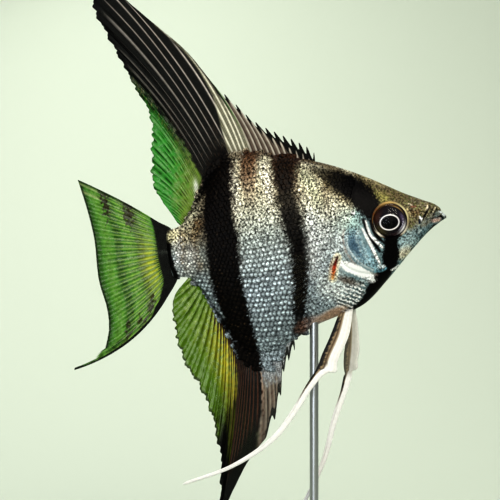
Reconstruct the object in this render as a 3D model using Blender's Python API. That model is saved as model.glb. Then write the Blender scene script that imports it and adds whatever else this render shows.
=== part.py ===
"""Freshwater angelfish (Pterophyllum scalare): a life-size display model on a plain stand.

Metres, +Z up. The head points to +X and the right flank to -Y. The origin is the centre of the base's
underside. The fish is given in shares of its standard length, in its own frame: `back` is the distance behind
the snout, `up` the height over the line from snout to tail root, and `out` the distance from the middle plane,
positive on the fish's left. place() turns such a point into metres.
"""

import math

import bmesh
import bpy
import numpy as np

# Driving dimensions, in metres and radians.
STANDARD_LENGTH = 0.075  # snout to the end of the tail stalk
NOSE_UP = math.radians(8)
SNOUT_X, SNOUT_Z = 0.046, 0.100
GAP = 0.00032  # between neighbouring solids
BASE_LENGTH, BASE_DEPTH, BASE_HEIGHT = 0.100, 0.056, 0.008
BASE_CORNER, BASE_EDGE = 0.012, 0.0015
ROD_RADIUS, ROD_X, ROD_SINK = 0.0012, 0.0105, 0.003
COLLAR_RADIUS, COLLAR_HEIGHT = 0.0032, 0.003
FIN_ROOT_HALF, FIN_TIP_HALF = 0.0005, 0.00028  # half the thickness of a fin at its root and its margin

# From here on in shares of the standard length.
SLIT = GAP / STANDARD_LENGTH
FIN_CLEAR = 1.15 * SLIT  # from the body's outline to the root of a fin in the middle plane

# Outline of head, trunk and tail stalk: (back, up).
BACK_LINE = [
    (0, 0.006), (0.03, 0.037), (0.147, 0.107), (0.25, 0.170), (0.387, 0.240), (0.55, 0.293),
    (0.69, 0.311), (0.785, 0.292), (0.85, 0.222), (0.915, 0.130), (0.955, 0.097), (1.0, 0.086),
]
BELLY_LINE = [
    (0, -0.010), (0.045, -0.034), (0.128, -0.100), (0.228, -0.192), (0.344, -0.281), (0.43, -0.305),
    (0.525, -0.331), (0.61, -0.372), (0.70, -0.400), (0.775, -0.385), (0.831, -0.301), (0.904, -0.150),
    (0.945, -0.096), (1.0, -0.086),
]
HALF_WIDTH = [
    (0, 0.014), (0.03, 0.027), (0.1, 0.045), (0.2, 0.064), (0.3, 0.078), (0.4, 0.083),
    (0.55, 0.076), (0.7, 0.060), (0.85, 0.038), (0.95, 0.024), (1.0, 0.018),
]
HEAD_SHARPNESS, TRUNK_SHARPNESS = 0.95, 1.2  # 1 is an ellipse; more gives keeled back and belly
BODY_STATIONS, BODY_SIDES = 40, 30

EYE_BACK, EYE_UP, EYE_OUT = 0.2025, 0.009, 0.054
EYE_RADIUS, EYE_DEPTH = 0.0633, 0.024

GILL_BACK, GILL_UP, GILL_RADIUS = 0.273, -0.044, 0.137  # circle of the gill cover's rear edge
GILL_TOP, GILL_END = math.radians(42), math.radians(-98)
GILL_FRONT = [(0.236, -0.120), (0.246, -0.068), (0.268, -0.015), (0.285, 0.030), (0.325, 0.052)]
GILL_PLATE_INNER = 0.048  # how far from the middle plane a gill cover's inner face lies

# Where the body is parted: nape to throat behind the head, round the lower jaw, and across the tail stalk.
NAPE_TO_THROAT = [
    (0.435, 0.33), (0.408, 0.17), (0.422, 0.04), (0.424, -0.06), (0.395, -0.13), (0.34, -0.18), (0.28, -0.28),
]
JAW = [(-0.03, 0), (0.012, -0.007), (0.057, -0.022), (0.108, -0.055), (0.112, -0.14), (-0.03, -0.14)]
STALK_START = 0.945
BEYOND = 0.15  # how far cutters reach past the body
SIDES = (("right", -1), ("left", 1))  # and the sign of `out` there

NOTCH_AT, NOTCH_DEPTH = 0.3, 0.026  # the dip between spine tips: its place between them, and its depth
TAIL_RAYS, PECTORAL_RAYS = 22, 12
FEELER_WIDTHS = (0.026, 0.0165, 0.0155, 0.0078)  # at its start, soon after, before its middle, and at its tip
BLADE_THICKNESS, FEELER_THICKNESS = (0.016, 0.0135), (0.0115, 0.0075)  # at the start and the end


def place(back, up, out):
    """Metres in the model's frame, for arrays of points in the fish's frame."""
    back, up, out = np.broadcast_arrays(back, up, out)
    x = SNOUT_X - STANDARD_LENGTH * (back * math.cos(NOSE_UP) + up * math.sin(NOSE_UP))
    z = SNOUT_Z - STANDARD_LENGTH * (back * math.sin(NOSE_UP) - up * math.cos(NOSE_UP))
    return np.stack([x, STANDARD_LENGTH * out, z], axis=-1)


def smooth(knots, steps=40):
    """Many points on a cubic Hermite curve through the knots, whose tangents follow the knots' spacing."""
    p = np.asarray(knots, float)
    t = np.concatenate([[0], np.cumsum(np.linalg.norm(np.diff(p, axis=0), axis=1))])
    tangent = np.gradient(p, t, axis=0)
    u = np.linspace(0, t[-1], steps * (len(p) - 1) + 1)
    i = np.clip(np.searchsorted(t, u, side="right") - 1, 0, len(p) - 2)
    span = (t[i + 1] - t[i])[:, None]
    f = (u - t[i])[:, None] / span
    start = p[i] * (2 * f**3 - 3 * f**2 + 1) + tangent[i] * span * (f**3 - 2 * f**2 + f)
    end = p[i + 1] * (3 * f**2 - 2 * f**3) + tangent[i + 1] * span * (f**3 - f**2)
    return start + end


def along(points, shares):
    """Points at these shares, 0 to 1, of a polyline's length."""
    length = np.concatenate([[0], np.cumsum(np.linalg.norm(np.diff(points, axis=0), axis=1))])
    at = np.asarray(shares) * length[-1]
    return np.stack([np.interp(at, length, column) for column in points.T], axis=1)


def height(line, back):
    """A profile's height, or the half width, at a distance behind the snout."""
    dense = smooth(line)
    return np.interp(back, dense[:, 0], dense[:, 1])


def edge(line, start, end, lift):
    """The stretch of a profile from start to end, moved straight out from the body by lift."""
    dense = smooth(line)
    dense = dense[(dense[:, 0] >= start) & (dense[:, 0] <= end)]
    run = np.gradient(dense, axis=0)
    run /= np.linalg.norm(run, axis=1)[:, None]
    outward = np.stack([-run[:, 1], run[:, 0]], axis=1) * (1 if line is BACK_LINE else -1)
    return dense + lift * outward


def sharpness(back):
    return HEAD_SHARPNESS + (TRUNK_SHARPNESS - HEAD_SHARPNESS) * np.clip((back - 0.2) / 0.3, 0, 1)


def half_thickness(back, up):
    """Distance of the flank's surface from the middle plane."""
    top, bottom = height(BACK_LINE, back), height(BELLY_LINE, back)
    level = np.clip((2 * up - top - bottom) / (top - bottom), -1, 1)
    return height(HALF_WIDTH, back) * (1 - level**2) ** (sharpness(back) / 2)


def material(name, colour, roughness, metallic=0.0):
    """A Principled BSDF in a linear colour, made once for each name."""
    found = bpy.data.materials.get(name)
    if found:
        return found
    made = bpy.data.materials.new(name)
    made.use_nodes = True
    shader = made.node_tree.nodes["Principled BSDF"]
    shader.inputs["Base Color"].default_value = (*colour, 1)
    shader.inputs["Roughness"].default_value = roughness
    shader.inputs["Metallic"].default_value = metallic
    return made


def solid(name, points, faces, look=None):
    """A closed mesh object, its faces turned outwards."""
    mesh = bpy.data.meshes.new(name)
    mesh.from_pydata([tuple(p) for p in points], [], faces)
    shape = bmesh.new()
    shape.from_mesh(mesh)
    bmesh.ops.recalc_face_normals(shape, faces=shape.faces)
    shape.to_mesh(mesh)
    shape.free()
    mesh.shade_smooth()
    obj = bpy.data.objects.new(name, mesh)
    bpy.context.scene.collection.objects.link(obj)
    if look:
        mesh.materials.append(look)
    return obj


def loft(rings):
    """Points and faces of a closed body through rings of equal count, with flat ends."""
    count, sides = rings.shape[:2]
    faces = [
        (i * sides + j, i * sides + (j + 1) % sides, (i + 1) * sides + (j + 1) % sides, (i + 1) * sides + j)
        for i in range(count - 1)
        for j in range(sides)
    ]
    faces.append(tuple(range(sides)))
    faces.append(tuple((count - 1) * sides + j for j in range(sides)))
    return rings.reshape(-1, 3), faces


def shell(right, left):
    """Points and faces of a closed sheet between two grids of equal size, one for each of its sides."""
    rows, columns = right.shape[:2]
    size = rows * columns
    index = np.arange(size).reshape(rows, columns)
    faces = []
    for i in range(rows - 1):
        for j in range(columns - 1):
            a, b, c, d = (int(v) for v in (index[i, j], index[i + 1, j], index[i + 1, j + 1], index[i, j + 1]))
            faces.append((a, b, c, d))
            faces.append((a + size, d + size, c + size, b + size))
    rim = [*index[0, :], *index[1:, -1], *index[-1, -2::-1], *index[-2:0:-1, 0]]
    for a, b in zip(rim, rim[1:] + rim[:1]):
        faces.append((int(a), int(b), int(b) + size, int(a) + size))
    return np.concatenate([right.reshape(-1, 3), left.reshape(-1, 3)]), faces


def cutter(name, points, faces):
    """A helper for a Boolean, which isn't part of the model."""
    obj = solid(name, points, faces)
    obj.hide_render = True
    obj.display_type = "WIRE"
    return obj


def prism(name, outline, inner=-BEYOND, outer=BEYOND):
    """A cutter with this closed outline of (back, up), from inner to outer."""
    outline = np.asarray(outline)
    rings = np.stack([place(outline[:, 0], outline[:, 1], out) for out in (inner, outer)])
    return cutter(name, *loft(rings))


def grown(outline, by):
    """A closed outline moved outwards by the same distance everywhere."""
    p = np.asarray(outline)
    area = np.sum(p[:, 0] * np.roll(p[:, 1], -1) - np.roll(p[:, 0], -1) * p[:, 1])
    run = np.roll(p, -1, axis=0) - p
    run /= np.linalg.norm(run, axis=1)[:, None]
    normal = np.stack([run[:, 1], -run[:, 0]], axis=1) * np.sign(area)
    corner = normal + np.roll(normal, 1, axis=0)
    return p + by * 2 * corner / np.sum(corner**2, axis=1)[:, None]


def cut(obj, tool, operation="DIFFERENCE"):
    modifier = obj.modifiers.new(tool.name, "BOOLEAN")
    modifier.operation = operation
    modifier.object = tool


def whole_body(name, look):
    """Head, trunk and tail stalk as one closed body, lofted through rings that follow the three profiles."""
    back = np.linspace(0, 1, BODY_STATIONS)[:, None] ** 1.3  # closer together at the snout
    angle = np.linspace(0, 2 * math.pi, BODY_SIDES, endpoint=False)[None, :]
    top, bottom = height(BACK_LINE, back), height(BELLY_LINE, back)
    up = (top + bottom) / 2 + (top - bottom) / 2 * np.cos(angle)
    bulge = np.abs(np.sin(angle)) ** sharpness(back) * np.sign(np.sin(angle))
    return solid(name, *loft(place(back, up, height(HALF_WIDTH, back) * bulge)), look)


def ellipsoid(name, sideways, grow, look=None):
    """An eye, or with grow the socket round it, on the side that sideways gives."""
    tilt = np.linspace(0, math.pi, 12)[1:-1, None]
    turn = np.linspace(0, 2 * math.pi, 22, endpoint=False)[None, :]
    radius, depth = EYE_RADIUS + grow, EYE_DEPTH + grow
    rings = place(
        EYE_BACK + radius * np.sin(tilt) * np.cos(turn),
        EYE_UP + radius * np.sin(tilt) * np.sin(turn),
        sideways * (EYE_OUT + depth * np.cos(tilt)),
    )
    points, faces = loft(rings)
    return solid(name, points, faces, look) if look else cutter(name, points, faces)


def gill_outline():
    """The gill cover: the round rear edge, then the front edge behind and under the eye."""
    angle = np.linspace(GILL_TOP, GILL_END, 16)
    rear = np.stack([GILL_BACK + GILL_RADIUS * np.cos(angle), GILL_UP + GILL_RADIUS * np.sin(angle)], axis=1)
    return np.concatenate([rear, GILL_FRONT])


def head(skin):
    """All in front of the nape and throat, less the mouth's lower lip, the gill covers and the eye sockets."""
    region = np.concatenate([smooth(NAPE_TO_THROAT, 4), [(-0.05, -0.28), (-0.05, 0.33)]])
    body = whole_body("head", skin)
    cut(body, prism("head_region", grown(region, -SLIT / 2)), "INTERSECT")
    cut(body, prism("jaw_slot", grown(JAW, SLIT)))
    for side, sideways in SIDES:
        inner, outer = sorted((sideways * (GILL_PLATE_INNER - SLIT), sideways * BEYOND))
        cut(body, prism(f"gill_slot_{side}", grown(gill_outline(), SLIT), inner, outer))
        cut(body, ellipsoid(f"socket_{side}", sideways, SLIT))


def lower_jaw(skin):
    cut(whole_body("lower_jaw", skin), prism("jaw_region", JAW), "INTERSECT")


def gill_cover(side, sideways, skin):
    inner, outer = sorted((sideways * GILL_PLATE_INNER, sideways * BEYOND))
    region = prism(f"gill_region_{side}", gill_outline(), inner, outer)
    cut(whole_body(f"gill_cover_{side}", skin), region, "INTERSECT")


def trunk(skin):
    """All between the head and the tail stalk, with a slot in the belly's keel for the stand's rod."""
    tail_side = [(0.28, -0.6), (STALK_START, -0.6), (STALK_START, 0.5), (0.435, 0.5)]
    region = np.concatenate([smooth(NAPE_TO_THROAT, 4), tail_side])
    body = whole_body("trunk", skin)
    cut(body, prism("trunk_region", grown(region, -SLIT / 2)), "INTERSECT")
    top = rod_top()
    cut(body, cylinder("keel_slot", ROD_RADIUS + GAP, top - 4 * ROD_SINK, top + GAP, 20, None))


def tail_stalk(skin):
    start = STALK_START + SLIT
    region = [(start, -0.3), (1.1, -0.3), (1.1, 0.3), (start, 0.3)]
    cut(whole_body("tail_stalk", skin), prism("stalk_region", region), "INTERSECT")


def fin(name, root, margin, look, bow=0.0, sway=0.0, columns=5, root_half=FIN_ROOT_HALF):
    """A fin whose rays run from root to margin, two arrays of (back, up, out) with one row for each ray.

    Each ray is a quadratic curve that bows outwards by `bow` of its length, one number or one for each ray.
    Away from its root the fin leans to the left by `sway` times the distance squared.
    """
    t = np.linspace(0, 1, columns)[None, :, None]
    chord = margin - root
    ahead = np.stack([-chord[:, 1], chord[:, 0], 0 * chord[:, 0]], axis=1) * np.sign(chord[:, 1])[:, None]
    control = (root + margin) / 2 + 2 * np.reshape(bow, (-1, 1)) * ahead
    centre = (1 - t) ** 2 * root[:, None] + 2 * t * (1 - t) * control[:, None] + t**2 * margin[:, None]
    reach = np.linalg.norm(centre - centre[:, :1], axis=2)
    middle = place(centre[..., 0], centre[..., 1], centre[..., 2] + sway * reach**2)
    half = (root_half + (FIN_TIP_HALF - root_half) * t)[..., 0] * np.ones_like(reach)
    offset = np.stack([0 * half, half, 0 * half], axis=-1)
    solid(name, *shell(middle - offset, middle + offset), look)


def ray_steps(spines, soft):
    """Ray numbers of a fin's grid rows: each spine with a row in the notch behind it, then every soft ray."""
    spiny = np.arange(spines)[:, None] + np.array([0, NOTCH_AT])
    return np.concatenate([spiny.ravel(), np.arange(spines, spines + soft)])


def notched(root, margin, number, spines):
    """Draws the margin back in the notch between one spine's tip and the next."""
    reach = margin - root
    reach /= np.linalg.norm(reach, axis=1)[:, None]
    in_notch = (number % 1 > 0) & (number < spines - 1)
    return margin - NOTCH_DEPTH * reach * in_notch[:, None]


def flat(points):
    """(back, up) points in the middle plane."""
    return np.concatenate([points, np.zeros((len(points), 1))], axis=1)


def tall_fin(name, look, root_line, spine_tips, leading, trailing, spines, soft, spiny_base, bow, sway):
    """The dorsal or anal fin: short notched spines, then long soft rays that end along the trailing edge.

    The spine tips are one point for each spine, or else knots of the line they lie on.
    """
    number = ray_steps(spines, soft)
    last_spine, first_soft, last = spines - 1, spines, spines + soft - 1
    root = along(root_line, np.interp(number, [0, first_soft, last], [0, spiny_base, 1]))
    if len(spine_tips) == spines:
        tips = np.stack([np.interp(number, np.arange(spines), column) for column in zip(*spine_tips)], axis=1)
    else:
        tips = along(smooth(spine_tips), np.clip(number / last_spine, 0, 1))
    lead = along(smooth(leading), np.clip(number - last_spine, 0, 1))
    trail = along(smooth(trailing), np.clip((number - first_soft) / (last - first_soft), 0, 1))
    row = number[:, None]
    margin = np.where(row <= last_spine, tips, np.where(row < first_soft, lead, trail))
    margin = notched(root, margin, number, spines)
    fin(name, flat(root), flat(margin), look, bow, sway)


def dorsal_fin(look):
    root = edge(BACK_LINE, 0.437, 0.952, FIN_CLEAR)
    spine_tips = [(0.441, 0.287), (0.541, 0.362), (0.638, 0.424), (0.693, 0.497), (0.763, 0.585)]
    leading = [(0.763, 0.585), (0.847, 0.722), (0.942, 0.829), (1.033, 0.932), (1.175, 1.116)]
    trailing = [
        (1.175, 1.116), (1.147, 0.913), (1.068, 0.686), (1.003, 0.49), (1.018, 0.37), (1.028, 0.27),
        (0.962, 0.110),
    ]
    tall_fin("dorsal_fin", look, root, spine_tips, leading, trailing, 12, 22, 0.40, 0.045, 0.05)


def anal_fin(look):
    root = edge(BELLY_LINE, 0.595, 0.948, FIN_CLEAR)
    spine_tips = [
        (0.606, -0.405), (0.632, -0.438), (0.655, -0.476), (0.677, -0.558), (0.711, -0.642), (0.753, -0.704),
    ]
    leading = [(0.753, -0.704), (0.822, -0.771), (0.888, -0.862), (0.986, -1.017)]
    trailing = [
        (0.986, -1.017), (0.936, -0.86), (0.922, -0.70), (0.948, -0.534), (1.005, -0.378), (1.023, -0.25),
        (1.006, -0.150), (0.958, -0.102),
    ]
    tall_fin("anal_fin", look, root, spine_tips, leading, trailing, 6, 22, 0.30, 0.03, -0.04)


def tail_fin(look):
    """The tail fan, whose lowest two rays run on into a streamer below the lower lobe."""
    share = np.linspace(0, 1, TAIL_RAYS)
    root = np.stack([np.full(TAIL_RAYS, 1 + FIN_CLEAR), np.interp(share, [0, 1], [0.083, -0.083])], axis=1)
    trailing = smooth([
        (1.298, 0.313), (1.280, 0.211), (1.268, 0.101), (1.272, -0.060), (1.256, -0.180), (1.262, -0.245),
        (1.284, -0.306),
    ])
    fan = TAIL_RAYS - 2
    margin = np.concatenate([along(trailing, np.linspace(0, 1, fan)), [(1.405, -0.361), (1.408, -0.368)]])
    bow = np.interp(np.arange(TAIL_RAYS), [0, 4, 10, 17, 19, 20, 21], [0.022, 0.0, 0.0, 0.05, 0.07, 0.105, 0.115])
    fin("tail_fin", flat(root), flat(margin), look, bow, 0.22)


def pectoral_fin(side, sideways, look):
    """A clear fan on the flank behind the gill cover, swept back and held a little away from the body."""
    share = np.linspace(0, 1, PECTORAL_RAYS)
    back = np.interp(share, [0, 1], [0.420, 0.444])
    up = np.interp(share, [0, 1], [-0.100, -0.165])
    root = np.stack([back, up, half_thickness(back, up) + 2 * SLIT], axis=1)
    length = 0.235 * (0.62 + 0.38 * np.sin(math.pi * np.clip(share * 1.15 + 0.05, 0, 1)))
    heading = np.radians(np.interp(share, [0, 1], [14, -52]))
    margin = root + np.stack([length * np.cos(heading), length * np.sin(heading), 0.42 * length], axis=1)
    mirror = np.array([1, 1, sideways])
    sway = -0.5 * sideways
    fin(f"pectoral_fin_{side}", root * mirror, margin * mirror, look, sway=sway, root_half=FIN_TIP_HALF)


def strand(name, front, rear, out, thickness, look):
    """A closed ribbon with these front and rear edges, a row for each ring, and a rounded section."""
    angle = np.linspace(0, 2 * math.pi, 8, endpoint=False)
    across = np.cos(angle)[None, :, None]
    middle = ((front + rear)[:, None] + (front - rear)[:, None] * across) / 2
    sideways = out[:, None] + thickness[:, None] / 2 * np.sin(angle)
    solid(name, *loft(place(middle[..., 0], middle[..., 1], sideways)), look)


def pelvic_fin(side, front, rear, feeler, spread, look):
    """A narrow blade at the throat that runs out into a long feeler, parted into a blade and two lengths.

    front and rear are the blade's edges, feeler the feeler's middle line, and spread its distance from the
    middle plane at the throat, at the blade's end, half way down the feeler and at its tip.
    """
    steps = np.linspace(0, 1, 10)
    front, rear = along(smooth(front), steps), along(smooth(rear), steps)
    blade_out = np.interp(steps, [0, 1], spread[:2])
    strand(f"pelvic_blade_{side}", front, rear, blade_out, np.interp(steps, [0, 1], BLADE_THICKNESS), look)

    line = smooth(feeler)
    length = np.sum(np.linalg.norm(np.diff(line, axis=0), axis=1))
    for part, start, end in (("upper", 0, 0.5 - SLIT / length / 2), ("lower", 0.5 + SLIT / length / 2, 1)):
        share = np.linspace(start, end, 12)
        centre = along(line, share)
        run = np.gradient(centre, axis=0)
        run /= np.linalg.norm(run, axis=1)[:, None]
        half = np.interp(share, [0, 0.12, 0.4, 1], FEELER_WIDTHS)[:, None] / 2
        across = half * np.stack([-run[:, 1], run[:, 0]], axis=1)
        out = np.interp(share, [0, 0.5, 1], spread[1:])
        thickness = np.interp(share, [0, 1], FEELER_THICKNESS)
        strand(f"pelvic_feeler_{part}_{side}", centre + across, centre - across, out, thickness, look)


def pelvic_fin_right(look):
    pelvic_fin(
        "right",
        [(0.376, -0.297), (0.406, -0.380), (0.450, -0.450), (0.476, -0.490), (0.500, -0.501)],
        [(0.431, -0.311), (0.478, -0.381), (0.513, -0.436), (0.530, -0.467), (0.541, -0.483)],
        [(0.527, -0.494), (0.570, -0.537), (0.622, -0.601), (0.715, -0.696), (0.873, -0.778), (1.071, -0.822)],
        (-0.022, -0.062, -0.086, -0.090),
        look,
    )


def pelvic_fin_left(look):
    pelvic_fin(
        "left",
        [(0.366, -0.294), (0.367, -0.380), (0.377, -0.460), (0.394, -0.496), (0.408, -0.516)],
        [(0.394, -0.303), (0.415, -0.392), (0.431, -0.455), (0.437, -0.500), (0.436, -0.520)],
        [(0.424, -0.524), (0.449, -0.585), (0.490, -0.667), (0.555, -0.822), (0.636, -0.949), (0.705, -1.041)],
        (0.022, 0.072, 0.096, 0.104),
        look,
    )


def cylinder(name, radius, low, high, sides, look):
    """An upright cylinder at the rod's place, or a cutter where it has no look."""
    angle = np.linspace(0, 2 * math.pi, sides, endpoint=False)
    ring = np.stack([ROD_X + radius * np.cos(angle), radius * np.sin(angle)], axis=1)
    rings = np.stack([np.column_stack([ring, np.full(sides, z)]) for z in (low, high)])
    points, faces = loft(rings)
    obj = solid(name, points, faces, look) if look else cutter(name, points, faces)
    obj.data.set_sharp_from_angle(angle=math.radians(40))
    return obj


def rod_top():
    """Height at which the rod ends, a little inside the belly's keel."""
    reach = (SNOUT_X - ROD_X) / STANDARD_LENGTH
    back = reach / math.cos(NOSE_UP)
    for _ in range(3):  # which point of the belly is over the rod depends a little on that point's height
        back = (reach - height(BELLY_LINE, back) * math.sin(NOSE_UP)) / math.cos(NOSE_UP)
    return place(back, height(BELLY_LINE, back), 0)[2] + ROD_SINK


def stand_base(wood):
    """A flat oblong with rounded corners and a bevelled upper edge."""
    turn = np.radians(np.arange(0, 91, 15))
    corner = BASE_CORNER * np.stack([np.cos(turn), np.sin(turn)], axis=1)
    middle = np.array([BASE_LENGTH, BASE_DEPTH]) / 2 - BASE_CORNER
    turned = corner[::-1] * [-1, 1]
    outline = np.concatenate([
        middle + corner, middle * [-1, 1] + turned, -middle - corner, middle * [1, -1] - turned,
    ])
    bevelled = outline * (1 - 2 * BASE_EDGE / np.array([BASE_LENGTH, BASE_DEPTH]))
    levels = [(0, outline), (BASE_HEIGHT - BASE_EDGE, outline), (BASE_HEIGHT, bevelled)]
    rings = np.stack([np.column_stack([ring, np.full(len(ring), z)]) for z, ring in levels])
    base = solid("stand_base", *loft(rings), wood)
    base.data.set_sharp_from_angle(angle=math.radians(30))


def stand_rod(steel):
    """The upright rod, and the collar round its foot."""
    foot = BASE_HEIGHT + GAP
    cylinder("stand_rod", ROD_RADIUS, foot, rod_top(), 20, steel)
    collar = cylinder("stand_collar", COLLAR_RADIUS, foot, BASE_HEIGHT + COLLAR_HEIGHT, 28, steel)
    cut(collar, cylinder("collar_bore", ROD_RADIUS + GAP, 0, foot + 2 * COLLAR_HEIGHT, 20, None))


def main():
    for obj in list(bpy.data.objects):
        bpy.data.objects.remove(obj, do_unlink=True)
    skin = material("silver_skin", (0.55, 0.58, 0.55), 0.35, 0.3)
    membrane = material("fin_membrane", (0.25, 0.27, 0.16), 0.4)
    clear = material("clear_membrane", (0.7, 0.7, 0.62), 0.3)
    white = material("white_ray", (0.85, 0.85, 0.8), 0.4)
    steel = material("steel_rod", (0.55, 0.55, 0.56), 0.3, 1.0)
    head(skin)
    lower_jaw(skin)
    trunk(skin)
    tail_stalk(skin)
    dorsal_fin(membrane)
    anal_fin(membrane)
    tail_fin(membrane)
    for side, sideways in SIDES:
        gill_cover(side, sideways, skin)
        ellipsoid(f"eye_{side}", sideways, 0, material("eye", (0.02, 0.018, 0.02), 0.1))
        pectoral_fin(side, sideways, clear)
    pelvic_fin_right(white)
    pelvic_fin_left(white)
    stand_base(material("ebonised_wood", (0.02, 0.017, 0.015), 0.35))
    stand_rod(steel)


main()
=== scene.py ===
# Looks of a life-size display model of a freshwater angelfish on its stand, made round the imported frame.
import math
import bpy
import numpy as np
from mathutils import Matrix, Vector


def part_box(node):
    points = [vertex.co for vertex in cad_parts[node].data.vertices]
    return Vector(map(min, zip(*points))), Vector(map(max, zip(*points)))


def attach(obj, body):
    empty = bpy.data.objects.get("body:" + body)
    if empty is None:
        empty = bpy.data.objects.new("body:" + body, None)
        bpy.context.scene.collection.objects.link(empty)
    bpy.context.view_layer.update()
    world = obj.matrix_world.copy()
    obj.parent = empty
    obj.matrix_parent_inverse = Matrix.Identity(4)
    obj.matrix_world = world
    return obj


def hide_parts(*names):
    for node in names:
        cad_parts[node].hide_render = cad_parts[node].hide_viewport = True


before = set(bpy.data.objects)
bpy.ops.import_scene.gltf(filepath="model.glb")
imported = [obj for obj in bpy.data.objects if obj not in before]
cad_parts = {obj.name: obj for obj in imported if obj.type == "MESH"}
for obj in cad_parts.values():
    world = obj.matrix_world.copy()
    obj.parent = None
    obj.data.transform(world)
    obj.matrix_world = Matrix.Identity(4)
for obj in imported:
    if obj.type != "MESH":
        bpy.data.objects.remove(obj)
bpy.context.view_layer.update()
chance = np.random.default_rng(11)

# The fish is given in its own frame: back from the snout, up over the line from snout to tail root, and out from
# the middle plane, positive on its left. The points of its outlines, and of the lines painted on it, are in
# thousandths of its length. Other sizes are in shares of it, or in mm where a note says so.
fish = {
    "length": 0.075,
    "noseUp": math.radians(8),
    "eye": (0.2025, 0.009, 0.054),  # back, up, out
    "backLine": [
        (0, 6), (30, 37), (147, 107), (250, 170), (387, 240), (550, 293),
        (690, 311), (785, 292), (850, 222), (915, 130), (955, 97), (1000, 86),
    ],
    "bellyLine": [
        (0, -10), (45, -34), (128, -100), (228, -192), (344, -281), (430, -305),
        (525, -331), (610, -372), (700, -400), (775, -385), (831, -301), (904, -150),
        (945, -96), (1000, -86),
    ],
    "halfWidth": [
        (0, 14), (30, 27), (100, 45), (200, 64), (300, 78), (400, 83),
        (550, 76), (700, 60), (850, 38), (950, 24), (1000, 18),
    ],
    "headSharpness": 0.95,  # 1 is an ellipse in cross-section, more is keeled
    "trunkSharpness": 1.2,
    "footHalfWidth": 0.0065,
}
length = fish["length"]
noseCos, noseSin = math.cos(fish["noseUp"]), math.sin(fish["noseUp"])
eyeBack, eyeUp, eyeOut = fish["eye"]
eyeLow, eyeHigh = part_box("eye_right")
eyeMiddle = (eyeLow + eyeHigh) / 2
snoutX = eyeMiddle.x + length * (eyeBack * noseCos + eyeUp * noseSin)
snoutZ = eyeMiddle.z + length * (eyeBack * noseSin - eyeUp * noseCos)
mm = 0.001 / length  # one millimetre, in shares of the fish's length


# Metres in the frame, for arrays of points in the fish's own frame: a turn by noseUp about the snout.
def place(back, up, out):
    back, up, out = np.broadcast_arrays(back, up, out)
    x = snoutX - length * (back * noseCos + up * noseSin)
    z = snoutZ - length * (back * noseSin - up * noseCos)
    return np.stack([x, length * out, z], axis=-1)


# 0 below low, 1 above high and a smooth S between them.
def ease(low, high, value):
    share = np.clip((value - low) / (high - low), 0, 1)
    return share * share * (3 - 2 * share)


# A bell of height 1 at middle that falls to a third at middle plus or minus width.
def bell(value, middle, width):
    return np.exp(-(((value - middle) / width) ** 2))


# Many points on a cubic Hermite curve through the knots, whose tangents follow the knots' spacing. The knots
# are in thousandths of the fish's length and the points in shares of it.
def curveThrough(knots, steps=40):
    p = np.array(knots) / 1000
    t = np.concatenate([[0], np.cumsum(np.linalg.norm(np.diff(p, axis=0), axis=1))])
    tangent = np.gradient(p, t, axis=0)
    u = np.linspace(0, t[-1], steps * (len(p) - 1) + 1)
    i = np.clip(np.searchsorted(t, u, side="right") - 1, 0, len(p) - 2)
    span = (t[i + 1] - t[i])[:, None]
    f = (u - t[i])[:, None] / span
    start = p[i] * (2 * f**3 - 3 * f**2 + 1) + tangent[i] * span * (f**3 - 2 * f**2 + f)
    end = p[i + 1] * (3 * f**2 - 2 * f**3) + tangent[i + 1] * span * (f**3 - f**2)
    return start + end


# Points at these shares, 0 to 1, of a polyline's length.
def along(points, shares):
    walked = np.concatenate([[0], np.cumsum(np.linalg.norm(np.diff(points, axis=0), axis=1))])
    at = np.asarray(shares) * walked[-1]
    return np.stack([np.interp(at, walked, column) for column in points.T], axis=-1)


# The stretch of a profile from start to end, moved straight out from the body by lift.
def edgeOf(line, start, end, lift, outwards):
    dense = curveThrough(line)
    dense = dense[(dense[:, 0] >= start) & (dense[:, 0] <= end)]
    run = np.gradient(dense, axis=0)
    run /= np.linalg.norm(run, axis=1)[:, None]
    return dense + lift * outwards * np.stack([-run[:, 1], run[:, 0]], axis=1)


profile = {name: curveThrough(fish[name]) for name in ("backLine", "bellyLine", "halfWidth")}


# Height or half width of one of those lines, straight from one of its points to the next.
def heightOf(name, back):
    return np.interp(back, profile[name][:, 0], profile[name][:, 1])


# Where a height lies between the belly, -1, and the back, 1.
def levelOf(back, up):
    top, bottom = heightOf("backLine", back), heightOf("bellyLine", back)
    return (2 * up - top - bottom) / (top - bottom)


# Sharpness of the cross-section: the head's, then a straight change to the trunk's.
def sharpnessAt(back):
    return fish["headSharpness"] + (fish["trunkSharpness"] - fish["headSharpness"]) * np.clip(
        (back - 0.2) / 0.3, 0, 1)


# The body's surface: rings round the middle of each height, angle 0 on the back and pi on the belly, with
# out = half width * |sin angle| ** sharpness.
def ringOf(back, angle):
    top, bottom = heightOf("backLine", back), heightOf("bellyLine", back)
    up = (top + bottom) / 2 + (top - bottom) / 2 * np.cos(angle)
    out = heightOf("halfWidth", back) * np.sign(np.sin(angle)) * np.abs(np.sin(angle)) ** sharpnessAt(back)
    return up, out


# Points on one flank or on the scaled foot of a fin beyond it, moved out along the surface's normal by lift
# metres. The body's own half width and the foot's join as the two sides of a right angle.
def flank(back, up, sideways, lift=0.0):
    def near(b, u):
        width = heightOf("halfWidth", b) * np.maximum(1 - levelOf(b, u) ** 2, 0) ** (sharpnessAt(b) / 2)
        return place(b, u, np.hypot(width, fish["footHalfWidth"])) * [1, sideways, 1]

    step = 0.002
    backRun = near(back + step, up) - near(back - step, up)
    downRun = near(back, up - step) - near(back, up + step)
    normal = -sideways * np.cross(backRun, downRun)
    normal /= np.linalg.norm(normal, axis=-1)[..., None]
    return near(back, up) + normal * np.asarray(lift)[..., None]


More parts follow.
